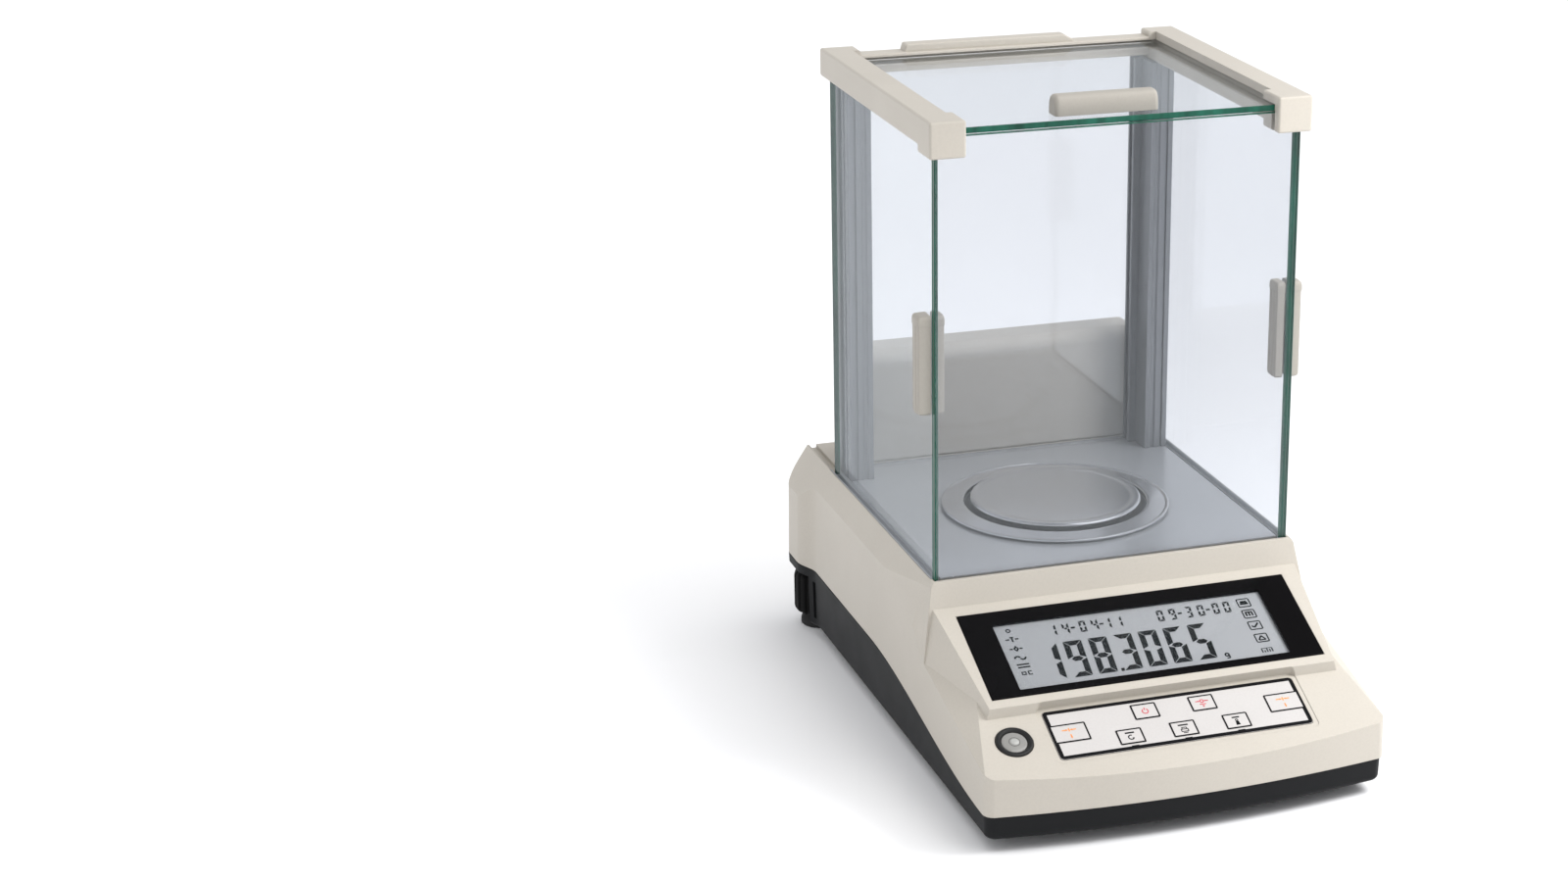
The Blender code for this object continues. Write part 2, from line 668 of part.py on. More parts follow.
def build_pan(materials):
    place = (0, PAN_Y, 0)
    low = FLOOR_Z + 0.3
    ring = [
        (RING_INNER, low), (RING_INNER, 102.4), (RING_INNER + 0.8, 103.0), (RING_OUTER - 3.0, 102.6),
        (RING_OUTER - 0.9, 101.9), (RING_OUTER, 101.0), (RING_OUTER, low), (RING_OUTER - 1.2, low),
        (RING_OUTER - 1.8, 101.1), (RING_INNER + 1.2, 101.6), (RING_INNER + 1.2, low),
    ]
    shade_round(make_object("draft_ring", turned(ring, 64), materials["pan_metal"], place))
    rim = PAN_R - 1.0
    pan = [
        (0, PAN_TOP_Z), (rim - 0.8, PAN_TOP_Z), (rim, PAN_TOP_Z - 0.2), (PAN_R, PAN_TOP_Z - 1.2),
        (PAN_R, 103.2), (rim, 103.2), (rim, PAN_TOP_Z - 1.3), (6.5, PAN_TOP_Z - 1.3),
        (6.5, 101.5), (4.3, 101.5), (4.3, PAN_TOP_Z - 1.6), (0, PAN_TOP_Z - 1.6),
    ]
    shade_round(make_object("weighing_pan", turned(pan, 64), materials["pan_metal"], place))
    column = [(0, 57.5), (5, 57.5), (5, 98), (4, 99), (4, 103.6), (0, 103.6)]
    shade_round(make_object("pan_support", turned(column, 28), materials["steel"], place))


def build_glass(materials):
    glass = materials["glass"]
    front_y = (GLASS_FRONT_Y, GLASS_FRONT_Y + GLASS)
    make_object("front_glass", box((-GLASS_HALF, GLASS_HALF), front_y, (98.2, 323.6)), glass)
    door_y = (front_y[1] + 0.4, DOOR_BACK_Y)
    for side, word in ((-1, "left"), (1, "right")):
        x = sorted((side * (GLASS_HALF - GLASS), side * GLASS_HALF))
        make_object(f"{word}_door_glass", box(x, door_y, (DOOR_BOTTOM_Z, DOOR_TOP_Z)), glass)
    top = box((-TOP_GLASS_HALF, TOP_GLASS_HALF), (GLASS_FRONT_Y + 0.6, FRAME_BACK_Y - 2),
              (TOP_GLASS_Z, TOP_GLASS_Z + GLASS))
    make_object("top_door_glass", top, glass)
    rear = box((-REAR_GLASS_HALF, REAR_GLASS_HALF), (REAR_GLASS_Y, REAR_GLASS_Y + GLASS),
               (FLOOR_Z + 0.4, REAR_BAR_BOTTOM_Z - 0.3))
    make_object("rear_glass", rear, glass)


def build_handles(material):
    """Rounded grips in pairs on both faces of each side door, and one on the top door."""
    y_mid = sum(HANDLE_Y) / 2
    z_mid = sum(HANDLE_Z) / 2
    half_y = (HANDLE_Y[1] - HANDLE_Y[0]) / 2
    half_z = (HANDLE_Z[1] - HANDLE_Z[0]) / 2
    plan = rounded_rectangle(half_y, half_z, 2.5, 3, (y_mid, z_mid))
    for side, word in ((-1, "left"), (1, "right")):
        for place, start, thick in (("outer", GLASS_HALF + GAP, OUTER_GRIP),
                                    ("inner", GLASS_HALF - GLASS - GAP, -INNER_GRIP)):
            near, far = sorted((side * start, side * (start + thick)))
            grip = make_object(f"{word}_{place}_handle", prism(plan, near, far, axis="X"), material)
            bevel(grip, 1.6, segments=2)
            shade_round(grip)
    x_mid = sum(TOP_HANDLE_X) / 2
    half_x = (TOP_HANDLE_X[1] - TOP_HANDLE_X[0]) / 2
    low = TOP_GLASS_Z + GLASS + GAP
    z_mid = low + TOP_HANDLE_TALL / 2
    plan = rounded_rectangle(half_x, TOP_HANDLE_TALL / 2, 3.2, 4, (x_mid, z_mid))
    grip = make_object("top_door_handle", prism(plan, *TOP_HANDLE_Y, axis="Y"), material)
    bevel(grip, 2.0, segments=2)
    shade_round(grip)


# ============================================================================================
# Top frame, posts and rear cover
# ============================================================================================

def build_top_frame(material):
    """One moulding: two side rails with corner blocks, joined at the back by a slotted bar."""
    rail_plan = (RAIL_BOTTOM_Z, FRAME_TOP_Z)
    rear = box((-FRAME_HALF + 2, FRAME_HALF - 2), REAR_BAR_Y, (REAR_BAR_BOTTOM_Z, REAR_STRIP_TOP_Z))
    frame = make_object("top_frame", rear, material)
    for side, word in ((-1, "left"), (1, "right")):
        x = sorted((side * RAIL_INNER, side * FRAME_HALF))
        rail = make_object(f"{word}_rail", box(x, (FRAME_FRONT_Y, FRAME_BACK_Y), rail_plan))
        join(rail, box(x, (FRAME_FRONT_Y, BLOCK_BACK_Y), (BLOCK_BOTTOM_Z, FRAME_TOP_Z)), f"{word}_block")
        bevel(rail, 1.2, segments=2)
        combine(frame, rail, "UNION")
    hump_y = REAR_BAR_Y[0] + 2.0, REAR_BAR_Y[1] - 0.4
    z = (REAR_STRIP_TOP_Z - 1, HUMP_TOP_Z)
    outline = [(HUMP_X[0] - 1.5, z[0]), (HUMP_X[1] + HUMP_SLANT, z[0]), (HUMP_X[1], z[1]), (HUMP_X[0], z[1])]
    join(frame, prism(outline, *hump_y, axis="Y"), "hump")
    cut_frame_slots(frame)
    shade_round(frame)
    return frame


def cut_frame_slots(frame):
    slot_z = (TOP_GLASS_Z - 0.35, TOP_GLASS_Z + GLASS + 0.35)
    slot = (-TOP_GLASS_HALF - 0.4, TOP_GLASS_HALF + 0.4)
    cut(frame, box(slot, (GLASS_FRONT_Y + 0.2, BIG), slot_z), "top_glass_slot")
    cut(frame, box((-LIP_INNER, LIP_INNER), (BLOCK_BACK_Y, REAR_BAR_Y[0] - 0.01), (TOP_GLASS_Z + 1, BIG)), "lip_opening")
    for side in (-1, 1):
        groove = sorted((side * (GLASS_HALF - GLASS - 0.4), side * (GLASS_HALF + 0.4)))
        cut(frame, box(groove, (GLASS_FRONT_Y + 1, BIG), (200, DOOR_TOP_Z + 0.6)), f"door_groove_{side}")
        pane = sorted((side * 60, side * (GLASS_HALF + 0.4)))
        pane_y = (GLASS_FRONT_Y - 0.35, GLASS_FRONT_Y + GLASS + 0.35)
        cut(frame, box(pane, pane_y, (200, TOP_GLASS_Z + 0.3)), f"front_glass_slot_{side}")


def post_outline(side):
    """Section of an extruded post: a hollow-looking profile with grooves and a glass seat."""
    y0, y1 = POST_Y
    seat = (REAR_GLASS_Y - 0.35, REAR_GLASS_Y + GLASS + 0.35)
    points = [
        (POST_OUTER, y0), (POST_OUTER, y0 + 5.0), (POST_OUTER - 1.2, y0 + 5.0), (POST_OUTER - 1.2, y0 + 7.5),
        (POST_OUTER, y0 + 7.5), (POST_OUTER, y1), (POST_REAR_INNER, y1), (POST_REAR_INNER, seat[1]),
        (POST_INNER, seat[1]), (POST_INNER, seat[0]), (POST_REAR_INNER, seat[0]),
        (POST_REAR_INNER, seat[0] - 2.0), (POST_INNER, seat[0] - 2.0), (POST_INNER, y0),
        (82.5, y0), (82.5, y0 + 1.2), (84.5, y0 + 1.2), (84.5, y0), (87.2, y0), (87.2, y0 + 0.8),
        (88.4, y0 + 0.8), (88.4, y0),
    ]
    return [(side * x, y) for x, y in points]


def build_posts(material):
    for side, word in ((-1, "left"), (1, "right")):
        shape = prism(post_outline(side), FLOOR_Z + 0.3, RAIL_BOTTOM_Z - 0.3)
        make_object(f"{word}_rear_post", shape, material)


def rear_cover_profile(inset, low):
    """The cover's section from back to front: upright sides and a rounded top."""
    radius = REAR_COVER_ROUND - inset
    near, far = REAR_COVER_Y[0] + inset, REAR_COVER_Y[1] - inset
    top = REAR_COVER_TOP_Z - inset
    points = [(near, low), (far, low)]
    for centre_y, start in ((far - radius, 0), (near + radius, 90)):
        for i in range(5):
            angle = math.radians(start + 90 * i / 4)
            points.append((centre_y + radius * math.cos(angle), top - radius + radius * math.sin(angle)))
    return points


def build_rear_cover(material):
    """The box behind the chamber that holds the electronics."""
    low = FLOOR_Z + 0.3
    half = REAR_COVER_HALF
    cover = make_object("rear_cover", prism(rear_cover_profile(0, low), -half, half, axis="X"), material)
    bevel(cover, 1.5, segments=2, angle=50)
    half -= REAR_COVER_WALL
    hollow = prism(rear_cover_profile(REAR_COVER_WALL, low - 5), -half, half, axis="X")
    cut(cover, hollow, "cover_cavity")
    for index in range(9):
        x = -48 + 12 * index
        slot = prism(rounded_rectangle(1.5, 12, 1.4, 2, (x, 134)), 145, 160, axis="Y")
        cut(cover, slot, f"vent_{index}")
    shade_round(cover)


# ============================================================================================
# Connectors and inner pieces
# ============================================================================================

def build_connectors(materials):
    inlet = [(2.6, -6), (6.0, -6), (6.0, 10.2), (7.6, 10.2), (7.6, 11.6), (3.2, 11.6), (2.6, 10.8)]
    place = (POWER_X, 153.6, CONNECTOR_Z)
    power = make_object("power_inlet", turned(inlet, 28), materials["trim_black"], place,
                        (math.radians(-90), 0, 0))
    pin = disc(0.9, -5.8, 8, 12)
    back = disc(4.0, -5.9, -3, 20)
    join(power, back, "inlet_back", place, (math.radians(-90), 0, 0))
    join(power, pin, "inlet_pin", place, (math.radians(-90), 0, 0))
    shade_round(power)
    face = rounded_rectangle(15.6, 6.2, 1.6, 3, (DATA_X, CONNECTOR_Z))
    port = make_object("data_port", prism(face, 156, 164.8, axis="Y"), materials["steel"])
    socket = [(-8.6, 4), (8.6, 4), (7.2, -4), (-7.2, -4)]
    outline = [(DATA_X + x, CONNECTOR_Z + z) for x, z in socket]
    cut(port, prism(outline, 160, 170, axis="Y"), "port_socket")


def build_weigh_cell(materials):
    base = box((-26, 26), (4, 122), (10.2, 16))
    frame = make_object("weigh_cell_frame", base, materials["cast_metal"])
    join(frame, box((-26, -16), (50, 66), (15, 58)), "bearing_left")
    join(frame, box((16, 26), (50, 66), (15, 58)), "bearing_right")
    cut(frame, disc(5, 0, 40, 20, (0, PAN_Y)), "frame_hole")
    lever = make_object("weigh_lever", box((-5, 5), (26, 112), (52, 57)), materials["aluminium"], (0, 0, 0))
    join(lever, box((-15.6, 15.6), (56, 60), (51, 56.5)), "lever_pivot_bar")
    coil = turned([(11, 43), (14, 43), (14, 51.3), (11, 51.3)], 32)
    shade_round(make_object("force_coil", coil, materials["copper"], (0, 98, 0)))
    pot = [(0, 16.3), (21, 16.3), (21, 49), (15.6, 49), (15.6, 26), (9.4, 26), (9.4, 49), (0, 49)]
    shade_round(make_object("magnet_pot", turned(pot, 32), materials["steel"], (0, 98, 0)))


def build_electronics(materials):
    make_object("main_board", box((36, 92), (-40, 88), (18, 19.6)), materials["board"])
    make_object("power_module", box((-76, -40), (30, 95), (10, 38)), materials["trim_black"])


def main():
    clear_scene()
    materials = {
        "cream": make_material("cream_plastic", (0.80, 0.76, 0.68), 0.45),
        "charcoal": make_material("charcoal_plastic", (0.055, 0.06, 0.062), 0.5),
        "gloss_black": make_material("gloss_black", (0.01, 0.01, 0.012), 0.12),
        "trim_black": make_material("trim_black", (0.02, 0.02, 0.02), 0.4),
        "clear": make_material("clear_window", (0.9, 0.93, 0.95), 0.05, alpha=0.2),
        "lcd": make_material("lcd_panel", (0.5, 0.54, 0.57), 0.3),
        "overlay": make_material("keypad_film", (0.86, 0.85, 0.82), 0.4),
        "vial": make_material("level_vial", (0.45, 0.46, 0.42), 0.1),
        "glass": make_material("glass", (0.75, 0.88, 0.85), 0.03, alpha=0.3),
        "floor_metal": make_material("floor_metal", (0.42, 0.46, 0.48), 0.4, 0.8),
        "pan_metal": make_material("pan_metal", (0.6, 0.61, 0.62), 0.28, 1.0),
        "aluminium": make_material("aluminium", (0.35, 0.37, 0.38), 0.4, 0.8),
        "steel": make_material("steel", (0.55, 0.55, 0.56), 0.3, 1.0),
        "cast_metal": make_material("cast_metal", (0.5, 0.5, 0.5), 0.6, 0.9),
        "copper": make_material("copper", (0.7, 0.35, 0.2), 0.35, 1.0),
        "board": make_material("circuit_board", (0.03, 0.2, 0.08), 0.5),
        "rubber": make_material("rubber", (0.02, 0.02, 0.02), 0.85),
    }
    build_upper_housing(materials["cream"])
    build_lower_housing(materials["charcoal"])
    build_screws(materials["steel"])
    build_feet(materials["trim_black"], materials["rubber"])
    build_display(materials)
    build_keypad(materials)
    build_level(materials)
    build_floor(materials)
    build_pan(materials)
    build_glass(materials)
    build_handles(materials["cream"])
    build_top_frame(materials["cream"])
    build_posts(materials["aluminium"])
    build_rear_cover(materials["cream"])
    build_connectors(materials)
    build_weigh_cell(materials)
    build_electronics(materials)


main()
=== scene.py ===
"""The looks of the analytical balance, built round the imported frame."""
import math

import bmesh
import bpy
from mathutils import Euler, Matrix, Vector


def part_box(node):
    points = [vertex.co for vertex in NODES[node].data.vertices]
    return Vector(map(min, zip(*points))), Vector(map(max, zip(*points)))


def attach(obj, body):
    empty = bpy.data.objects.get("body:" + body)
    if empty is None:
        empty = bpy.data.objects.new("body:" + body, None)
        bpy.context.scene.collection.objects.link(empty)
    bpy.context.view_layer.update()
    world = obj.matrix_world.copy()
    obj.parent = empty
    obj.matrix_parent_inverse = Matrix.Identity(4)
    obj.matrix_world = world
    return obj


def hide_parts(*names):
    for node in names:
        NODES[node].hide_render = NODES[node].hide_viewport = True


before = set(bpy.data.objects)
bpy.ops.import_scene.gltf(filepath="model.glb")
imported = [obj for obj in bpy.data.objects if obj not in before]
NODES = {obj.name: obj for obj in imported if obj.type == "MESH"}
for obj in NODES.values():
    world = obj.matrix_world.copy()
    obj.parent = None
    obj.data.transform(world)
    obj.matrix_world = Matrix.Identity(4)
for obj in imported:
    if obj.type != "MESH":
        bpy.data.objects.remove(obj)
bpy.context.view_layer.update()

MM = 0.001
BIG = 400.0  # reaches past the object on every side
SIDES = ((-1, "left"), (1, "right"))
CAMERA_TURN = (21.42, 18.88, 0.85)  # yaw, pitch and roll in degrees
CAMERA_AT = (-0.5489, -1.4145, 0.6644)
CAMERA_LENS, CAMERA_SHIFT = 71.64, -0.194
KEY_LIGHT = 0.95
TOP_LIGHT = 1.3
FILL_LIGHT = 0.42
CORNER_LIGHT = 2.5

# ==== Sizes in millimetres, in the row frame ====
FRONT_HALF = 105.0
REAR_HALF = 110.5
DEPTH_HALF = 166.0
FRONT_BOW = 8.7
FRONT_EASE = 0.04  # keeps the finer bow inside the CAD's box
FLARE_START = 124.0
FLARE_END = 143.0
FLOOR_Z = 100.0
BASE_Z = 6.5
WALL = 3.0
SIDE_DRAFT = 0.988
PARTING_FRONT_Z = 19.5
PARTING_REAR_Z = 40.5
PARTING_RISE_START = -153.5
PARTING_RISE_LENGTH = 180.0
KEYPAD_EDGE = (-159.4, 38.0)
KEYPAD_SLOPE = math.radians(24)
DISPLAY_EDGE = (-118.2, 61.6)
DISPLAY_SLOPE = math.radians(23)
DISPLAY_BACK_Y = -62.5
DISPLAY_STEP_Y = -123.3
BEZEL_HALF = 87.7
BEZEL_TALL = 58.0
WINDOW_X = (-72.2, 71.2)
WINDOW_S = (4.0, 49.1)
KEYPAD_X = 1.3
KEYPAD_HALF = 66.0
KEYPAD_S = (8.3, 39.3)
KEYS = {
    "left_tare_key": (-56.2, 24.2, 18.6, 11.8),
    "right_tare_key": (56.2, 24.2, 18.6, 11.8),
    "power_key": (-15.0, 31.0, 13.4, 10.0),
    "mode_key": (15.2, 31.0, 13.4, 10.0),
    "unit_key": (-27.6, 16.6, 13.4, 9.8),
    "print_key": (0.2, 16.6, 13.4, 9.8),
    "calibrate_key": (28.0, 16.6, 13.4, 9.8),
}
KEY_GAP = 0.12
LEVEL_X, LEVEL_S, LEVEL_R, VIAL_R = -83.6, 23.4, 9.2, 6.4
GLASS = 3.0
GLASS_FRONT_Y = -53.5
GLASS_HALF = 95.0
FLOOR_HALF = 91.2
TRACK_OUTER = 96.1
CHAMBER_BACK_Y = 123.6
POST_Y = (99.1, 120.6)
REAR_GLASS_Y = (115.4, 118.4)
SLOT_GAP = 0.35  # play on each side of a pane held in a slot
GROOVE_GAP = 0.4  # the same in a groove that a door runs in
COLUMN_HOLE_R = 9.0
PAN_Y = 30.9
NOTCH_X, NOTCH_Y, NOTCH_TOP_Z = 76.0, 132.0, 35.2
KNOB_X, KNOB_Y = 94.3, 150.5
KNOB_R, KNOB_GRIPS = 14.6, 18
FRONT_FOOT_AT = (72.0, -130.0)
FRAME_HALF = 98.9
FRAME_TOP_Z = 331.9
RAIL_BOTTOM_Z = 317.3
BLOCK_BOTTOM_Z = 313.8
RAIL_INNER = 80.5
LIP_INNER = 84.5
FRAME_FRONT_Y = -58.4
FRAME_BACK_Y = 122.0
BLOCK_BACK_Y = -39.5
REAR_BAR_Y = (109.5, 120.0)
REAR_BAR_BOTTOM_Z = 319.3
REAR_STRIP_TOP_Z = 329.2
HUMP_TOP_Z = 333.0
TOP_GLASS_Z = 324.2
TOP_GLASS_HALF = 86.5
PORT_AT, INLET_AT = (24.0, 60.0), (62.0, 60.0)  # X and Z on the back
SCREWS = [(-86.0, -105.0), (86.0, -105.0), (-84.0, 95.0), (84.0, 95.0)]


# ==== Camera, light and floor ====

def build_camera(scene):
    camera = bpy.data.cameras.new("camera")
    holder = bpy.data.objects.new("camera", camera)
    scene.collection.objects.link(holder)
    yaw, pitch, roll = (math.radians(v) for v in CAMERA_TURN)
    ahead = Vector((math.sin(yaw) * math.cos(pitch), math.cos(yaw) * math.cos(pitch), -math.sin(pitch)))
    level = Vector((math.cos(yaw), -math.sin(yaw), 0))
    upright = level.cross(ahead)
    right = math.cos(roll) * level + math.sin(roll) * upright
    up = -math.sin(roll) * level + math.cos(roll) * upright
    matrix = Matrix((right, up, -ahead)).transposed().to_4x4()
    matrix.translation = Vector(CAMERA_AT)
    holder.matrix_world = matrix
    camera.sensor_width = 36
    camera.lens = CAMERA_LENS
    camera.shift_x = CAMERA_SHIFT
    scene.camera = holder


def build_world(scene):
    """A studio that is white at the horizon and grey overhead."""
    world = bpy.data.worlds.new("studio")
    scene.world = world
    world.use_nodes = True
    tree = world.node_tree
    tree.nodes.clear()
    out = tree.nodes.new("ShaderNodeOutputWorld")
    back = tree.nodes.new("ShaderNodeBackground")
    ramp = tree.nodes.new("ShaderNodeValToRGB")
    split = tree.nodes.new("ShaderNodeSeparateXYZ")
    coords = tree.nodes.new("ShaderNodeTexCoord")
    tree.links.new(coords.outputs["Generated"], split.inputs[0])
    tree.links.new(split.outputs["Z"], ramp.inputs[0])
    stops = ((0.0, (1.0, 1.01, 1.03, 1)), (0.9, (0.24, 0.245, 0.26, 1)))
    for stop, (position, colour) in zip(ramp.color_ramp.elements, stops):
        stop.position = position
        stop.color = colour
    tree.links.new(ramp.outputs[0], back.inputs[0])
    tree.links.new(back.outputs[0], out.inputs[0])


def build_lamp(scene, name, kind, strength, towards, colour=(1, 1, 1), glossy=False):
    light = bpy.data.lights.new(name, kind)
    light.energy = strength
    light.color = colour
    lamp = bpy.data.objects.new(name, light)
    lamp.rotation_mode = "QUATERNION"
    lamp.rotation_quaternion = Vector(towards).to_track_quat("Z", "Y")
    lamp.visible_glossy = glossy
    scene.collection.objects.link(lamp)
    return lamp


def build_lights(scene):
    """Three wide suns, and a soft disk for the near right corner. Only the key shows in reflections."""
    key = build_lamp(scene, "key", "SUN", KEY_LIGHT, (0.85, -0.55, 1.45), (1.0, 0.99, 0.97), True)
    top = build_lamp(scene, "top", "SUN", TOP_LIGHT, (0.05, 0.1, 1.0))
    fill = build_lamp(scene, "fill", "SUN", FILL_LIGHT, (-1.0, -0.25, 0.7))
    for lamp, degrees in ((key, 50), (top, 75), (fill, 80)):
        lamp.data.angle = math.radians(degrees)
    at, aim = Vector((0.38, -0.27, 0.46)), Vector((0.09, -0.12, 0.05))
    corner = build_lamp(scene, "corner", "AREA", CORNER_LIGHT, at - aim, (0.98, 0.985, 1.0))
    corner.data.shape = "DISK"
    corner.data.size = 0.3
    corner.location = at


def build_stage():
    scene = bpy.context.scene
    scene.view_settings.view_transform = "Standard"
    build_camera(scene)
    build_world(scene)
    build_lights(scene)
    bm = bmesh.new()
    bmesh.ops.create_grid(bm, x_segments=1, y_segments=1, size=9.0)
    mesh = bpy.data.meshes.new("floor")
    bm.to_mesh(mesh)
    bm.free()
    floor = bpy.data.objects.new("floor", mesh)
    scene.collection.objects.link(floor)
    material = bpy.data.materials.new("floor")
    material.use_nodes = True
    shader = material.node_tree.nodes["Principled BSDF"]
    shader.inputs["Base Color"].default_value = (0.93, 0.93, 0.935, 1)
    shader.inputs["Roughness"].default_value = 0.9
    shader.inputs["Specular IOR Level"].default_value = 0.1
    mesh.materials.append(material)


# ==== Materials ====

class Nodes:
    """Adds shader nodes and links with short calls."""

    def __init__(self, name):
        self.material = bpy.data.materials.new(name)
        self.material.use_nodes = True
        self.tree = self.material.node_tree
        self.shader = self.tree.nodes["Principled BSDF"]
        self.output = self.tree.nodes["Material Output"]
        self.coords = self.add("ShaderNodeTexCoord").outputs["Object"]

    def add(self, kind, **settings):
        node = self.tree.nodes.new(kind)
        for key, value in settings.items():
            setattr(node, key, value)
        return node

    def link(self, source, target):
        self.tree.links.new(source, target)

    def noise(self, scale, detail=3.0, coords=None):
        node = self.add("ShaderNodeTexNoise")
        node.inputs["Scale"].default_value = scale
        node.inputs["Detail"].default_value = detail
        self.link(coords or self.coords, node.inputs["Vector"])
        return node.outputs["Fac"]

    def stretched(self, scale):
        node = self.add("ShaderNodeMapping")
        node.inputs["Scale"].default_value = scale
        self.link(self.coords, node.inputs["Vector"])
        return node.outputs["Vector"]

    def ramp(self, value, low, high, start=0.3, end=0.7):
        node = self.add("ShaderNodeValToRGB")
        node.color_ramp.elements[0].position = start
        node.color_ramp.elements[0].color = (*low, 1)
        node.color_ramp.elements[1].position = end
        node.color_ramp.elements[1].color = (*high, 1)
        self.link(value, node.inputs[0])
        return node.outputs["Color"]

    def spread(self, value, low, high):
        node = self.add("ShaderNodeMapRange")
        node.inputs["To Min"].default_value = low
        node.inputs["To Max"].default_value = high
        self.link(value, node.inputs["Value"])
        return node.outputs["Result"]

    def multiply(self, first, second):
        node = self.add("ShaderNodeMix", data_type="RGBA", blend_type="MULTIPLY")
        node.inputs["Factor"].default_value = 1.0
        self.link(first, node.inputs["A"])
        self.link(second, node.inputs["B"])
        return node.outputs["Result"]

    def bump(self, height, strength, distance, soften=0.0):
        node = self.add("ShaderNodeBump")
        node.inputs["Strength"].default_value = strength
        node.inputs["Distance"].default_value = distance
        self.link(height, node.inputs["Height"])
        if soften:
            edge = self.add("ShaderNodeBevel", samples=4)
            edge.inputs["Radius"].default_value = soften
            self.link(edge.outputs[0], node.inputs["Normal"])
        self.link(node.outputs["Normal"], self.shader.inputs["Normal"])

    def base(self, colour):
        self.link(colour, self.shader.inputs["Base Color"])

    def rough(self, value, low, high):
        self.link(self.spread(value, low, high), self.shader.inputs["Roughness"])

    def constants(self, metallic=0.0, specular=0.5, coat=0.0):
        self.shader.inputs["Metallic"].default_value = metallic
        self.shader.inputs["Specular IOR Level"].default_value = specular
        self.shader.inputs["Coat Weight"].default_value = coat
        self.shader.inputs["Coat Roughness"].default_value = 0.1
        self.shader.inputs["IOR"].default_value = 1.5


def tinted(colour, factor):
    return tuple(min(c * factor, 1.0) for c in colour)


def plastic(name, colour, rough=0.42, grain=2600, depth=0.16, specular=0.45, soften=0.0004, painted_corner_shade=0.10):
    """Moulded plastic: slow colour drift, spark-eroded grain, soft edges and painted shade that darkens the colour in
    corners.
    """
    n = Nodes(name)
    base = n.ramp(n.noise(14, 2), tinted(colour, 0.975), tinted(colour, 1.02))
    flecks = n.ramp(n.noise(900, 2), (0.97, 0.97, 0.97), (1.0, 1.0, 1.0), 0.35, 0.6)
    base = n.multiply(base, flecks)
    # Painted shade: ambient occlusion darkens the colour in corners and creases, where shade falls.
    if painted_corner_shade:
        corner = n.add("ShaderNodeAmbientOcclusion", samples=6)
        corner.inputs["Distance"].default_value = 0.004
        shade = n.ramp(corner.outputs["AO"], (1 - painted_corner_shade, 1 - painted_corner_shade, 1 - 1.2 * painted_corner_shade), (1, 1, 1), 0.25, 0.85)
        base = n.multiply(base, shade)
    n.base(base)
    n.rough(n.noise(60, 4), rough - 0.05, rough + 0.06)
    n.bump(n.noise(grain, 2), depth, 0.00004, soften)
    n.constants(specular=specular)
    return n.material


def gloss(name, colour, rough=0.08, specular=0.5, coat=0.0):
    """Glossy moulded or glass-like surface with faint smudges."""
    n = Nodes(name)
    n.base(n.ramp(n.noise(25, 3), tinted(colour, 0.9), tinted(colour, 1.1)))
    n.rough(n.noise(90, 5), max(rough - 0.03, 0.02), rough + 0.06)
    n.bump(n.noise(40, 1), 0.02, 0.0002)
    n.constants(specular=specular, coat=coat)
    return n.material


def brushed(name, colour, rough, along, grain, depth, metallic=1.0):
    """Metal with fine straight lines: `along` is the stretch of the pattern."""
    n = Nodes(name)
    lines = n.noise(grain, 3, n.stretched(along))
    base = n.ramp(n.noise(18, 3), tinted(colour, 0.95), tinted(colour, 1.05))
    streaks = n.ramp(lines, (0.93, 0.93, 0.93), (1.0, 1.0, 1.0), 0.3, 0.7)
    n.base(n.multiply(base, streaks))
    n.rough(lines, rough - 0.06, rough + 0.08)
    n.bump(lines, depth, 0.00005, 0.0002)
    n.constants(metallic=metallic)
    return n.material


def turned_metal(name, colour, rough=0.2):
    """Metal with fine rings about the object's own Z axis, as a lathe leaves them."""
    n = Nodes(name)
    wave = n.add("ShaderNodeTexWave", wave_type="RINGS", rings_direction="Z")
    wave.inputs["Scale"].default_value = 150
    wave.inputs["Distortion"].default_value = 1.2
    wave.inputs["Detail"].default_value = 3
    wave.inputs["Detail Scale"].default_value = 2
    n.link(n.coords, wave.inputs["Vector"])
    base = n.ramp(n.noise(30, 3), tinted(colour, 0.95), tinted(colour, 1.04))
    n.base(base)
    n.rough(n.noise(120, 4), rough - 0.05, rough + 0.08)
    n.bump(wave.outputs["Fac"], 0.025, 0.00002, 0.0003)
    n.constants(metallic=0.88)
    return n.material


def pane_glass(name, tint, ior=1.5, smudge=0.02):
    """A thin clear face: light passes straight through, with a reflection that grows at a slant."""
    n = Nodes(name)
    n.tree.nodes.remove(n.shader)
    clear = n.add("ShaderNodeBsdfTransparent")
    patch = n.ramp(n.noise(7, 4), tinted(tint, 0.992), tint, 0.35, 0.65)
    n.link(patch, clear.inputs["Color"])
    shine = n.add("ShaderNodeBsdfGlossy")
    n.link(n.spread(n.noise(35, 5), 0.01, 0.01 + smudge), shine.inputs["Roughness"])
    shine.inputs["Color"].default_value = (0.9, 0.95, 0.97, 1)
    facing = n.add("ShaderNodeLayerWeight")
    facing.inputs["Blend"].default_value = 0.5
    power = n.add("ShaderNodeMath", operation="POWER")
    power.inputs[1].default_value = 5.0
    n.link(facing.outputs["Facing"], power.inputs[0])
    straight = ((ior - 1) / (ior + 1)) ** 2
    amount = n.spread(power.outputs[0], straight, 0.5)
    mix = n.add("ShaderNodeMixShader")
    n.link(amount, mix.inputs[0])
    n.link(clear.outputs[0], mix.inputs[1])
    n.link(shine.outputs[0], mix.inputs[2])
    n.link(mix.outputs[0], n.output.inputs["Surface"])
    return n.material


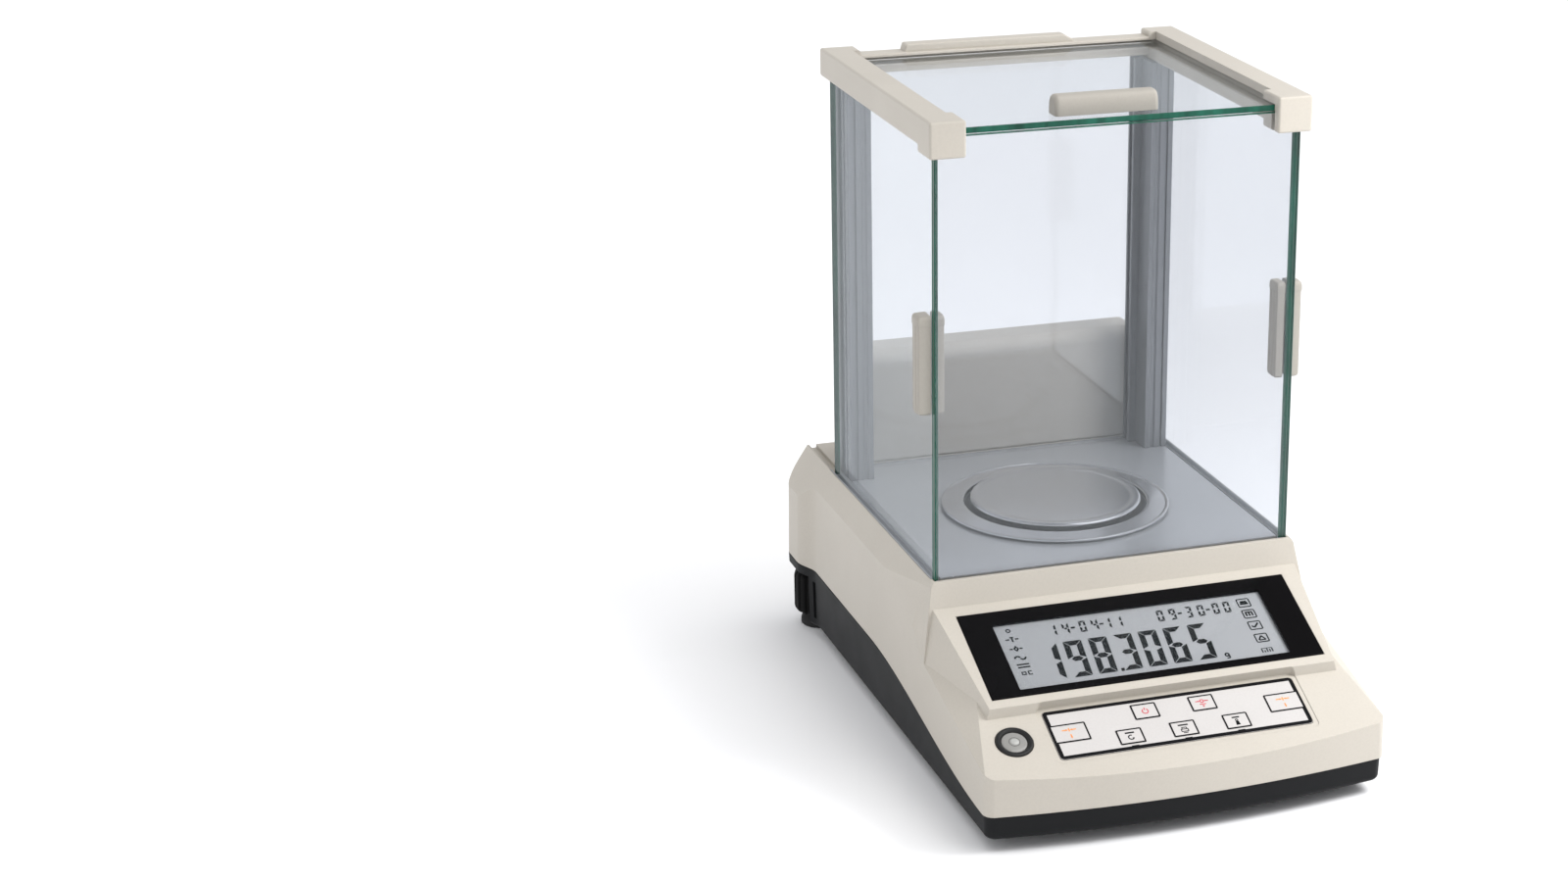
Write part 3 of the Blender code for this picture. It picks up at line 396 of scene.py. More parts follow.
def glass_edge(name, colour):
    """The polished edge of a pane, where the light has come a long way through green glass."""
    n = Nodes(name)
    streak = n.noise(160, 3, n.stretched((1, 1, 0.15)))
    n.base(n.ramp(streak, tinted(colour, 0.55), tinted(colour, 1.25)))
    n.rough(n.noise(240, 2), 0.08, 0.2)
    n.bump(n.noise(600, 2), 0.05, 0.00003)
    n.constants(specular=0.25)
    return n.material


def lcd_face(name):
    """Reflective liquid-crystal glass: pale blue-grey, with painted light that makes it a little lighter towards the +X
    end, and fine pixels' sparkle.
    """
    n = Nodes(name)
    split = n.add("ShaderNodeSeparateXYZ")
    n.link(n.coords, split.inputs[0])
    painted_light_across = n.add("ShaderNodeMapRange")
    painted_light_across.inputs["From Min"].default_value = -0.08
    painted_light_across.inputs["From Max"].default_value = 0.08
    n.link(split.outputs["X"], painted_light_across.inputs["Value"])
    # Painted light: the colour is lighter towards the +X end, where more light falls.
    base = n.ramp(painted_light_across.outputs["Result"], (0.33, 0.333, 0.338), (0.38, 0.383, 0.388), 0.0, 1.0)
    sparkle = n.ramp(n.noise(2200, 2), (0.95, 0.95, 0.96), (1, 1, 1))
    n.base(n.multiply(base, sparkle))
    n.rough(n.noise(80, 3), 0.32, 0.42)
    n.bump(n.noise(1500, 1), 0.03, 0.00003)
    n.constants(specular=0.3)
    return n.material


def ink(name, colour, rough=0.45):
    n = Nodes(name)
    n.base(n.ramp(n.noise(700, 3), tinted(colour, 0.85), tinted(colour, 1.15)))
    n.rough(n.noise(300, 2), rough - 0.05, rough + 0.1)
    n.constants(specular=0.12)
    return n.material


def rubber(name, colour):
    n = Nodes(name)
    n.base(n.ramp(n.noise(40, 4), tinted(colour, 0.8), tinted(colour, 1.5)))
    n.rough(n.noise(150, 4), 0.7, 0.9)
    n.bump(n.noise(1400, 3), 0.3, 0.00006, 0.0003)
    n.constants(specular=0.3)
    return n.material


def circuit(name):
    """Green solder mask over faint copper tracks."""
    n = Nodes(name)
    brick = n.add("ShaderNodeTexBrick")
    brick.inputs["Scale"].default_value = 170
    brick.inputs["Mortar Size"].default_value = 0.03
    brick.inputs["Color1"].default_value = (0.012, 0.10, 0.035, 1)
    brick.inputs["Color2"].default_value = (0.016, 0.13, 0.045, 1)
    brick.inputs["Mortar"].default_value = (0.06, 0.22, 0.08, 1)
    n.link(n.coords, brick.inputs["Vector"])
    n.base(n.multiply(brick.outputs["Color"], n.ramp(n.noise(300, 2), (0.85,) * 3, (1,) * 3)))
    n.rough(n.noise(200, 2), 0.25, 0.4)
    n.bump(brick.outputs["Fac"], 0.1, 0.00005)
    return n.material


def winding(name):
    n = Nodes(name)
    wave = n.add("ShaderNodeTexWave", wave_type="BANDS", bands_direction="Z")
    wave.inputs["Scale"].default_value = 500
    n.link(n.coords, wave.inputs["Vector"])
    n.base(n.ramp(wave.outputs["Fac"], (0.30, 0.10, 0.04), (0.72, 0.34, 0.18)))
    n.rough(wave.outputs["Fac"], 0.25, 0.4)
    n.bump(wave.outputs["Fac"], 0.4, 0.0001)
    n.constants(metallic=0.9)
    return n.material


def build_materials():
    return {
        "cream": plastic("cream_plastic", (0.50, 0.463, 0.405)),
        "cream_grip": plastic("cream_grip", (0.37, 0.345, 0.305), rough=0.5, grain=1800),
        "charcoal": plastic("charcoal_plastic", (0.0085, 0.009, 0.010), rough=0.5, depth=0.22, specular=0.13, painted_corner_shade=0.0),
        "knob": plastic("knob_plastic", (0.005, 0.005, 0.005), rough=0.5, depth=0.2, specular=0.08, painted_corner_shade=0.0),
        "trim_black": plastic("trim_black", (0.012, 0.012, 0.012), rough=0.35, depth=0.1, painted_corner_shade=0.0),
        "gloss_black": gloss("gloss_black", (0.0035, 0.0032, 0.0035), 0.12, specular=0.08),
        "film": plastic("keypad_film", (0.53, 0.508, 0.492), rough=0.36, grain=3200, depth=0.08, soften=0.0, painted_corner_shade=0.0),
        "ink_black": ink("ink_black", (0.005, 0.005, 0.006)),
        "ink_red": ink("ink_red", (0.52, 0.10, 0.12)),
        "ink_orange": ink("ink_orange", (0.80, 0.30, 0.09)),
        "segment": ink("lcd_segment", (0.006, 0.0065, 0.007), 0.5),
        "segment_soft": ink("lcd_segment_soft", (0.03, 0.032, 0.034), 0.5),
        "lcd": lcd_face("lcd_face"),
        "lcd_frame": ink("lcd_frame", (0.03, 0.03, 0.032)),
        "clear": pane_glass("clear_window", (0.97, 0.975, 0.98), 1.38, 0.03),
        "glass": pane_glass("clear_glass", (0.926, 0.932, 0.945)),
        "glass_edge": glass_edge("glass_edge", (0.010, 0.085, 0.055)),
        "vial": gloss("level_vial", (0.26, 0.255, 0.24), 0.07, coat=0.5),
        "vial_bubble": gloss("level_bubble", (0.40, 0.40, 0.38), 0.03, coat=0.8),
        "floor_metal": brushed("floor_metal", (0.47, 0.485, 0.505), 0.24, (1, 25, 1), 420, 0.03, 0.6),
        "pan_metal": turned_metal("pan_metal", (0.60, 0.605, 0.62)),
        "aluminium": brushed("anodised_aluminium", (0.185, 0.192, 0.205), 0.42, (1, 1, 0.02), 900, 0.06, 0.5),
        "track_metal": brushed("track_metal", (0.42, 0.43, 0.445), 0.35, (1, 0.02, 1), 900, 0.05, 0.4),
        "steel": brushed("machined_steel", (0.5, 0.5, 0.51), 0.28, (1, 1, 1), 600, 0.05),
        "cast_metal": brushed("cast_metal", (0.45, 0.45, 0.46), 0.55, (1, 1, 1), 260, 0.4, 0.9),
        "copper": winding("copper_winding"),
        "board": circuit("circuit_board"),
        "rubber": rubber("rubber", (0.02, 0.02, 0.02)),
    }


# ==== Mesh tools: every argument is in millimetres ====

GUIDES = []


def make_object(name, bm, material=None, origin=(0, 0, 0), turn=(0, 0, 0)):
    bmesh.ops.recalc_face_normals(bm, faces=bm.faces)
    bmesh.ops.scale(bm, vec=(MM, MM, MM), verts=bm.verts)
    mesh = bpy.data.meshes.new(name)
    bm.to_mesh(mesh)
    bm.free()
    obj = bpy.data.objects.new(name, mesh)
    obj.location = Vector(origin) * MM
    obj.rotation_euler = Euler(turn)
    bpy.context.scene.collection.objects.link(obj)
    if material:
        mesh.materials.append(material)
    return obj


def skin(bm, loops):
    """Quads from each loop of vertices to the next."""
    for a, b in zip(loops, loops[1:]):
        for i in range(len(a)):
            j = (i + 1) % len(a)
            bm.faces.new((a[i], a[j], b[j], b[i]))


def loft(rows):
    """A closed solid through rows of points, every row a loop of the same length."""
    bm = bmesh.new()
    loops = [[bm.verts.new(point) for point in row] for row in rows]
    bm.faces.new(loops[0])
    bm.faces.new(loops[-1])
    skin(bm, loops)
    return bm


def prism(outline, low, high, axis="Z", high_scale=(1.0, 1.0)):
    """An outline drawn out along an axis, its high end scaled."""
    order = {"X": (2, 0, 1), "Y": (0, 2, 1), "Z": (0, 1, 2)}[axis]
    rows = []
    for w, (scale_u, scale_v) in ((low, (1.0, 1.0)), (high, high_scale)):
        rows.append([[(u * scale_u, v * scale_v, w)[k] for k in order] for u, v in outline])
    return loft(rows)


def rectangle(u0, u1, v0, v1):
    return [(u0, v0), (u1, v0), (u1, v1), (u0, v1)]


def box(x, y, z):
    return prism(rectangle(*x, *y), *z)


def span(side, near, far):
    """A range of X on one side of the middle, its low end first."""
    return tuple(sorted((side * near, side * far)))


def rounded_rectangle(half_u, half_v, radius, steps=4, centre=(0.0, 0.0)):
    points = []
    for sign_u, sign_v, start in ((1, 1, 0), (-1, 1, 90), (-1, -1, 180), (1, -1, 270)):
        for i in range(steps + 1):
            angle = math.radians(start + 90 * i / steps)
            points.append((
                centre[0] + sign_u * (half_u - radius) + radius * math.cos(angle),
                centre[1] + sign_v * (half_v - radius) + radius * math.sin(angle),
            ))
    return points


def turned(profile, segments=96):
    """A solid of revolution about +Z: a closed loop of (radius, z), or a run from axis to axis."""
    bm = bmesh.new()
    rings = []
    for radius, z in profile:
        if radius < 1e-6:
            rings.append([bm.verts.new((0, 0, z))])
            continue
        rings.append([
            bm.verts.new((radius * math.cos(2 * math.pi * i / segments),
                          radius * math.sin(2 * math.pi * i / segments), z))
            for i in range(segments)
        ])
    pairs = list(zip(rings, rings[1:]))
    if len(rings[0]) > 1:
        pairs.append((rings[-1], rings[0]))
    for first, second in pairs:
        for i in range(segments):
            j = (i + 1) % segments
            corners = [first[i % len(first)], first[j % len(first)],
                       second[j % len(second)], second[i % len(second)]]
            bm.faces.new(list(dict.fromkeys(corners)))
    return bm


def disc(radius, low, high, segments=48):
    return turned([(0, low), (radius, low), (radius, high), (0, high)], segments)


def rounded_profile(points, radius, steps=5):
    """A closed or open (radius, z) run with its marked corners rounded: a point is (r, z) or (r, z, own radius)."""
    result = []
    count = len(points)
    for index, point in enumerate(points):
        own = point[2] if len(point) > 2 else radius
        if index in (0, count - 1) or own <= 0:
            result.append((point[0], point[1]))
            continue
        here = Vector(point[:2])
        before = Vector(points[index - 1][:2]) - here
        after = Vector(points[index + 1][:2]) - here
        reach = min(own, before.length * 0.45, after.length * 0.45)
        start = here + before.normalized() * reach
        end = here + after.normalized() * reach
        for i in range(steps + 1):
            t = i / steps
            p = start * (1 - t) ** 2 + here * 2 * t * (1 - t) + end * t ** 2
            result.append((p.x, p.y))
    return result


def convex(planes, shrink=0.0, size=BIG):
    bm = bmesh.new()
    bmesh.ops.create_cube(bm, size=2 * size)
    for point, normal, extra in planes:
        outward = Vector(normal).normalized()
        inset = shrink + (extra if shrink else 0.0)
        result = bmesh.ops.bisect_plane(
            bm, geom=bm.verts[:] + bm.edges[:] + bm.faces[:],
            plane_co=Vector(point) - outward * inset, plane_no=outward, clear_outer=True,
        )
        edges = [e for e in result["geom_cut"] if isinstance(e, bmesh.types.BMEdge)]
        if edges:
            bmesh.ops.contextual_create(bm, geom=edges)
    return bm


def plane_through(a, b, c, outside):
    a, b, c = Vector(a), Vector(b), Vector(c)
    normal = (b - a).cross(c - a)
    if normal.dot(Vector(outside) - a) < 0:
        normal = -normal
    return a, normal, 0.0


def mirrored(plane):
    point, normal, extra = plane
    return (Vector((-point[0], point[1], point[2])), Vector((-normal[0], normal[1], normal[2])), extra)


def bevel(obj, width, segments=3, angle=30):
    modifier = obj.modifiers.new("edges", "BEVEL")
    modifier.width = width * MM
    modifier.segments = segments
    modifier.limit_method = "ANGLE"
    modifier.angle_limit = math.radians(angle)
    modifier.use_clamp_overlap = True


def combine(target, operand, operation="DIFFERENCE"):
    modifier = target.modifiers.new(operand.name, "BOOLEAN")
    modifier.operation = operation
    modifier.solver = "EXACT"
    modifier.object = operand
    operand.hide_render = True
    GUIDES.append(operand)


def cut(target, bm, name, origin=(0, 0, 0), turn=(0, 0, 0)):
    combine(target, make_object("guide_" + name, bm, None, origin, turn))


def join(target, bm, name, origin=(0, 0, 0), turn=(0, 0, 0)):
    combine(target, make_object("guide_" + name, bm, None, origin, turn), "UNION")


def settle(obj, angle=34, weighted=True):
    """Applies the modifiers to the mesh, removes the guides and sets its shading."""
    if obj.modifiers:
        bpy.context.view_layer.update()
        graph = bpy.context.evaluated_depsgraph_get()
        mesh = bpy.data.meshes.new_from_object(obj.evaluated_get(graph))
        obj.modifiers.clear()
        obj.data = mesh
    while GUIDES:
        bpy.data.objects.remove(GUIDES.pop(), do_unlink=True)
    obj.data.shade_smooth()
    obj.data.set_sharp_from_angle(angle=math.radians(angle))
    if weighted:
        modifier = obj.modifiers.new("normals", "WEIGHTED_NORMAL")
        modifier.keep_sharp = True
        modifier.weight = 60
    return obj


def place(obj, body, slot, *nodes):
    """Puts a finished piece on its body, in place of CAD nodes; `slot` is not used."""
    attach(obj, body)
    if nodes:
        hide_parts(*nodes)
    return obj


def piece(name, bm, material, body, slot, *nodes, at=None, angle=34, weighted=True):
    """A finished piece in one call. `at` holds make_object's origin and turn."""
    obj = make_object(name, bm, material, **(at or {}))
    return place(settle(obj, angle, weighted), body, slot, *nodes)


KEYPAD_FRAME = {"origin": (0, *KEYPAD_EDGE), "turn": (KEYPAD_SLOPE, 0, 0)}
DISPLAY_FRAME = {"origin": (0, *DISPLAY_EDGE), "turn": (DISPLAY_SLOPE, 0, 0)}
KEYPAD_CENTRE = (KEYPAD_X, sum(KEYPAD_S) / 2)
KEYPAD_HALF_S = (KEYPAD_S[1] - KEYPAD_S[0]) / 2


def keypad_spot(x, s, z=0):
    """A frame on the keypad's slope, centred on a point of it."""
    turn = KEYPAD_FRAME["turn"]
    centre = Vector(KEYPAD_FRAME["origin"]) + Euler(turn).to_matrix() @ Vector((x, s, z))
    return {"origin": tuple(centre), "turn": turn}


# ==== Flat marks ====

def marks(name, polygons, material, frame_at, low, high):
    """Thin raised print: every polygon is a flat island, an outline is an (outer, inner) pair."""
    bm = bmesh.new()

    def ring(points, z):
        return [bm.verts.new((x, y, z)) for x, y in points]

    for shape in polygons:
        if isinstance(shape, tuple):
            outer, inner = shape
            loops = [ring(outer, high), ring(inner, high), ring(inner, low), ring(outer, low)]
            skin(bm, loops + loops[:1])
            continue
        top, bottom = ring(shape, high), ring(shape, low)
        bm.faces.new(top)
        bm.faces.new(bottom)
        skin(bm, [bottom, top])
    return make_object(name, bm, material, **frame_at)


def bar(x0, y0, x1, y1, width):
    """A straight stroke with square ends."""
    along = Vector((x1 - x0, y1 - y0)).normalized()
    side = Vector((-along.y, along.x)) * width / 2
    a, b = Vector((x0, y0)), Vector((x1, y1))
    return [tuple(a - side), tuple(b - side), tuple(b + side), tuple(a + side)]


def stroke(points, width):
    return [bar(*a, *b, width) for a, b in zip(points, points[1:])]


def arc(cx, cy, radius, start, end, width, steps=14):
    """A curved stroke, as one polygon."""
    def at(r, t):
        angle = math.radians(start + (end - start) * t)
        return (cx + r * math.cos(angle), cy + r * math.sin(angle))
    outer = [at(radius + width / 2, i / steps) for i in range(steps + 1)]
    inner = [at(radius - width / 2, i / steps) for i in range(steps, -1, -1)]
    return outer + inner


def circle(cx, cy, radius, width, steps=24):
    def loop(r):
        return [(cx + r * math.cos(2 * math.pi * i / steps), cy + r * math.sin(2 * math.pi * i / steps))
                for i in range(steps)]
    return (loop(radius + width / 2), loop(radius - width / 2))


def frame_line(half_u, half_v, radius, width, centre=(0.0, 0.0), steps=4):
    return (
        rounded_rectangle(half_u, half_v, radius, steps, centre),
        rounded_rectangle(half_u - width, half_v - width, max(radius - width, 0.08), steps, centre),
    )


def triangle(cx, cy, size, angle):
    points = []
    for k in (0, 130, 230):
        a = math.radians(angle + k)
        points.append((cx + size * math.cos(a), cy + size * math.sin(a)))
    return points


SEGMENTS = {
    "0": "abcdef", "1": "bc", "3": "abcdg", "4": "bcfg", "5": "acdfg", "6": "acdefg", "8": "abcdefg",
    "9": "abcdfg", "-": "g",
}


def digit(symbol, x, y, wide, tall, thick, slant, gap=0.16):
    """Seven-segment digit with mitred ends, leaning by `slant` mm over its height."""
    if symbol == "-":
        lean = slant / 2
        return [bar(x + lean, y + tall / 2, x + lean + wide, y + tall / 2, thick)]
    t, g = thick, gap * thick
    w, h, m = wide, tall, tall / 2
    shapes = {
        "a": [(g, h), (w - g, h), (w - t - g, h - t), (t + g, h - t)],
        "d": [(g, 0), (w - g, 0), (w - t - g, t), (t + g, t)],
        "f": [(0, h - g), (t, h - t - g), (t, m + t / 2 + g), (0, m + g)],
        "e": [(0, g), (t, t + g), (t, m - t / 2 - g), (0, m - g)],
        "b": [(w, h - g), (w - t, h - t - g), (w - t, m + t / 2 + g), (w, m + g)],
        "c": [(w, g), (w - t, t + g), (w - t, m - t / 2 - g), (w, m - g)],
        "g": [(t / 2 + g, m), (t + g, m + t / 2), (w - t - g, m + t / 2), (w - t / 2 - g, m),
              (w - t - g, m - t / 2), (t + g, m - t / 2)],
    }
    return [[(x + px + slant * py / h, y + py) for px, py in shapes[s]] for s in SEGMENTS[symbol]]


# ==== Housings ====

def parting_z(y):
    t = min(max((y - PARTING_RISE_START) / PARTING_RISE_LENGTH, 0.0), 1.0)
    return PARTING_FRONT_Z + (PARTING_REAR_Z - PARTING_FRONT_Z) * t * t * (3 - 2 * t)


def base_outline(inset=0.0):
    """Plan of the housing: bowed front, straight sides, wider over the rear feet."""
    corner_front, corner_rear = 6.0, 8.0
    half, rear_half, back = FRONT_HALF - inset, REAR_HALF - inset, DEPTH_HALF - inset
    right = []
    bow_steps = 10
    reach = half - corner_front
    for i in range(bow_steps):
        x = reach * (i + 0.5) / (bow_steps - 0.5)
        right.append((x, -DEPTH_HALF + FRONT_EASE + inset + FRONT_BOW * (x / FRONT_HALF) ** 2))
    corner_y = right[-1][1] + corner_front
    for degrees in range(-72, 1, 9):
        angle = math.radians(degrees)
        right.append((reach + corner_front * math.cos(angle), corner_y + corner_front * math.sin(angle)))
    for i in range(11):
        t = i / 10
        ease = t * t * (3 - 2 * t)
        right.append((half + (rear_half - half) * ease, FLARE_START + (FLARE_END - FLARE_START) * t))
    for degrees in range(0, 91, 10):
        angle = math.radians(degrees)
        right.append((rear_half - corner_rear + corner_rear * math.cos(angle),
                      back - corner_rear + corner_rear * math.sin(angle)))
    return right + [(-x, y) for x, y in reversed(right)]


def deck_normal(slope):
    return (0, -math.sin(slope), math.cos(slope))


def low_deck_planes():
    strip = plane_through((105, -131.5, 44.7), (105, -55.5, 62.0), (98.5, -131.5, 50.4), (105, -100, 90))
    return [
        ((0, *KEYPAD_EDGE), deck_normal(KEYPAD_SLOPE), 0.0),
        ((0, -103.5, 62.9), deck_normal(math.radians(8)), 0.0),
        strip, mirrored(strip),
        ((0, -40, 0), (0, 1, 0), 0.0),
    ]


def display_block_planes():
    rise = math.tan(DISPLAY_SLOPE)
    front_z = DISPLAY_EDGE[1] + (DISPLAY_STEP_Y - DISPLAY_EDGE[0]) * rise
    back_z = DISPLAY_EDGE[1] + (DISPLAY_BACK_Y - DISPLAY_EDGE[0]) * rise
    lean = math.radians(15)
    front_top = Vector((91.0, DISPLAY_STEP_Y, front_z))
    back_top = Vector((97.5, DISPLAY_BACK_Y, back_z))
    lower = front_top + Vector((math.sin(lean), 0, -math.cos(lean))) * 20
    side = plane_through(front_top, back_top, lower, (140, -90, 60))
    return [
        ((0, *DISPLAY_EDGE), deck_normal(DISPLAY_SLOPE), 0.0),
        side, mirrored(side),
        ((0, DISPLAY_STEP_Y, 0), (0, -1, 0), 0.0),
        ((0, -45, 0), (0, 1, 0), 0.0),
    ]


def chamber_block_planes():
    shoulder = plane_through((96.6, 0, FLOOR_Z), (104.8, 0, 87.5), (96.6, 50, FLOOR_Z), (110, 0, 120))
    corner = plane_through((104.8, 6.5, 87.5), (104.8, -55.5, 62.0), (98.0, -56.0, 98.0), (120, -60, 90))
    front = plane_through((0, -56.0, FLOOR_Z), (0, -58.3, 88.5), (10, -56.0, FLOOR_Z), (0, -90, 90))
    return [
        ((0, 0, FLOOR_Z), (0, 0, 1), 2.0),
        shoulder, mirrored(shoulder), corner, mirrored(corner), front,
    ]


def housing_form(name, inset=0.0):
    outline = prism(base_outline(inset), -20, 120, high_scale=(SIDE_DRAFT, 0.994))
    form = make_object(name, outline)
    top = make_object("guide_" + name + "_top", convex(low_deck_planes(), inset))
    join(top, convex(display_block_planes(), inset), name + "_display")
    join(top, convex(chamber_block_planes(), inset), name + "_chamber")
    combine(form, top, "INTERSECT")
    return form


def below_parting(name, drop=0.0):
    steps = 40
    points = [(-BIG, PARTING_FRONT_Z - drop)]
    for i in range(steps + 1):
        y = PARTING_RISE_START + PARTING_RISE_LENGTH * i / steps
        points.append((y, parting_z(y) - drop))
    points += [(BIG, PARTING_REAR_Z - drop), (BIG, -BIG), (-BIG, -BIG)]
    return make_object(name, prism(points, -BIG, BIG, axis="X"))


def build_upper_housing(m):
    body = housing_form("shell_upper")
    body.data.materials.append(m["cream"])
    bevel(body, 2.2, segments=5, angle=13)
    combine(body, below_parting("guide_parting"))
    combine(body, housing_form("guide_cavity", WALL))
    seat = box((-BEZEL_HALF - 0.3, BEZEL_HALF + 0.3), (-0.3, BEZEL_TALL + 0.3), (-1.5, 20))
    cut(body, seat, "bezel_seat", **DISPLAY_FRAME)
    opening = box((WINDOW_X[0] - 6, WINDOW_X[1] + 6), (WINDOW_S[0] - 1.2, WINDOW_S[1] + 4), (-12, 5))
    cut(body, opening, "display_opening", **DISPLAY_FRAME)
    cut_keypad_seat(body)
    cut_chamber_seat(body)
    port = rounded_rectangle(16, 6.6, 2, centre=PORT_AT)
    cut(body, prism(port, 150, 175, axis="Y"), "data_hole")
    cut(body, disc(7.9, -180, -150), "inlet_hole", (INLET_AT[0], 0, INLET_AT[1]), (math.radians(90), 0, 0))
    place(settle(body), "base", "cream", "upper_housing")


def cut_keypad_seat(body):
    """A shallow dish round the keypad film, the key wells and the level's hole."""
    outline = rounded_rectangle(KEYPAD_HALF + 2.6, KEYPAD_HALF_S + 2.6, 3, 5, KEYPAD_CENTRE)
    dish = make_object("guide_dish", prism(outline, -0.35, 5), None, **KEYPAD_FRAME)
    bevel(dish, 0.3, 2, 60)
    combine(body, dish)
    seat = rounded_rectangle(KEYPAD_HALF + 0.25, KEYPAD_HALF_S + 0.25, 2.0, 5, KEYPAD_CENTRE)
    cut(body, prism(seat, -1.0, 4), "film_seat", **KEYPAD_FRAME)
    ledge = 0.7
    for name, (x, s, wide, tall) in KEYS.items():
        hole = rectangle(KEYPAD_X + x - wide / 2 + ledge, KEYPAD_X + x + wide / 2 - ledge,
                         s - tall / 2 + ledge, s + tall / 2 - ledge)
        cut(body, prism(hole, -9, 2), name + "_well", **KEYPAD_FRAME)
    level = keypad_spot(LEVEL_X, LEVEL_S)
    cut(body, disc(LEVEL_R + 0.3, -2.4, 5), "level_seat", **level)
    cut(body, disc(VIAL_R + 0.6, -14, 5), "level_hole", **level)


def cut_chamber_seat(body):
    above = 110
    front = GLASS_FRONT_Y + GLASS + 0.1
    floor = (-FLOOR_HALF - 0.1, FLOOR_HALF + 0.1)
    cut(body, box(floor, (front, CHAMBER_BACK_Y + 0.3), (98.5, above)), "floor_seat")
    for side, _ in SIDES:
        painted_light_across = span(side, FLOOR_HALF, TRACK_OUTER + 0.3)
        cut(body, box(painted_light_across, (front, POST_Y[1] + 1.2), (96.6, above)), f"track_seat_{side}")
        groove = span(side, GLASS_HALF - GLASS - 0.5, GLASS_HALF + 0.5)
        cut(body, box(groove, (POST_Y[1], BIG), (98.0, above)), f"rear_groove_{side}")
    glass = (GLASS_FRONT_Y - SLOT_GAP, GLASS_FRONT_Y + GLASS + SLOT_GAP)
    cut(body, box((-GLASS_HALF - 0.4, GLASS_HALF + 0.4), glass, (97.8, above)), "front_glass_slot")
    cut(body, disc(COLUMN_HOLE_R, 80, above), "column_hole", (0, PAN_Y, 0))


def build_lower_housing(m):
    shape = prism(base_outline(0.2), 48, BASE_Z, high_scale=(0.986, 0.992))
    body = make_object("shell_lower", shape, m["charcoal"])
    bevel(body, 3.0, segments=5, angle=50)
    above = make_object("guide_above", prism(rectangle(-BIG, BIG, 90, 1), -BIG, BIG, axis="X"))
    combine(above, below_parting("guide_keep", 0.4))
    combine(body, above)
    cavity = make_object("guide_tub", prism(base_outline(WALL), BASE_Z + WALL, 90))
    for side, _ in SIDES:
        notch = box(span(side, NOTCH_X - WALL, BIG), (NOTCH_Y - WALL, BIG), (-10, NOTCH_TOP_Z + WALL))
        cut(cavity, notch, f"notch_wall_{side}")
    combine(body, cavity)
    for side, _ in SIDES:
        cut(body, box(span(side, NOTCH_X, BIG), (NOTCH_Y, BIG), (-10, NOTCH_TOP_Z)), f"notch_{side}")
        cut(body, disc(3.5, 20, 50), f"stud_{side}", (side * KNOB_X, KNOB_Y, 0))
        cut(body, box(span(side, 103.6, BIG), (125.5, 128.5), (12, 33.5)), f"side_line_{side}")
    for index, (x, y) in enumerate(SCREWS):
        cut(body, disc(2.0, 0, 20), f"screw_{index}", (x, y, 0))
        cut(body, disc(4.2, 0, BASE_Z + 1.6), f"screw_seat_{index}", (x, y, 0))
    place(settle(body), "base", "charcoal", "lower_housing")


def knob_rows():
    """Rows of a fluted knob whose ends are chamfered: each level is (height, change of radius)."""
    steps = KNOB_GRIPS * 8
    rows = []
    for z, change in ((8.0, -2.4), (8.6, -1.2), (9.8, -0.3), (11.0, 0.0),
                      (28.6, 0.0), (30.2, -0.5), (31.1, -1.4), (31.5, -2.6)):
        depth = 1.0 if change > -1.0 else 0.4
        row = []
        for i in range(steps):
            angle = 2 * math.pi * i / steps
            radius = KNOB_R + change - depth * max(0.0, math.cos(angle * KNOB_GRIPS)) ** 2
            row.append((radius * math.cos(angle), radius * math.sin(angle), z))
        rows.append(row)
    return rows


def stud_profile():
    """A threaded rod, from inside the knob to above the housing's floor."""
    bottom, pitch, turns, crest, root = 31.4, 1.1, 26, 3.0, 2.6
    profile = [(0, bottom - 0.2), (crest, bottom - 0.2)]
    for i in range(turns):
        profile += [(crest, bottom + i * pitch), (root, bottom + (i + 0.5) * pitch)]
    return profile + [(2.4, 60.9), (0, 60.9)]


def build_feet(m):
    pad = rounded_profile([(0, 0), (11, 0), (11, 3.6), (8.5, 7.7), (0, 7.7)], 1.0)
    front = rounded_profile([(0, 0.4, 0), (8, 0.4, 0.3), (8.6, 0, 0.3), (12, 0, 1.0), (12, 6.2, 0.6),
                             (0, 6.2, 0)], 0.5)
    for side, word in SIDES:
        at = {"origin": (side * KNOB_X, KNOB_Y, 0)}
        front_at = {"origin": (side * FRONT_FOOT_AT[0], FRONT_FOOT_AT[1], 0)}
        body = f"rear_{word}_knob"
        piece(f"knob_{word}", loft(knob_rows()), m["knob"], body, "trim_black", f"rear_{word}_foot_knob",
              at=at, angle=40, weighted=False)
        piece(f"knob_stud_{word}", turned(stud_profile(), 32), m["steel"], body, "steel",
              at=at, angle=25, weighted=False)
        piece(f"pad_{word}", turned(pad, 64), m["rubber"], f"rear_{word}_foot", "rubber",
              f"rear_{word}_foot_pad", at=at)
        piece(f"foot_front_{word}", turned(front, 64), m["rubber"], "base", "rubber",
              f"front_{word}_foot", at=front_at)


# ==== Display and keypad ====

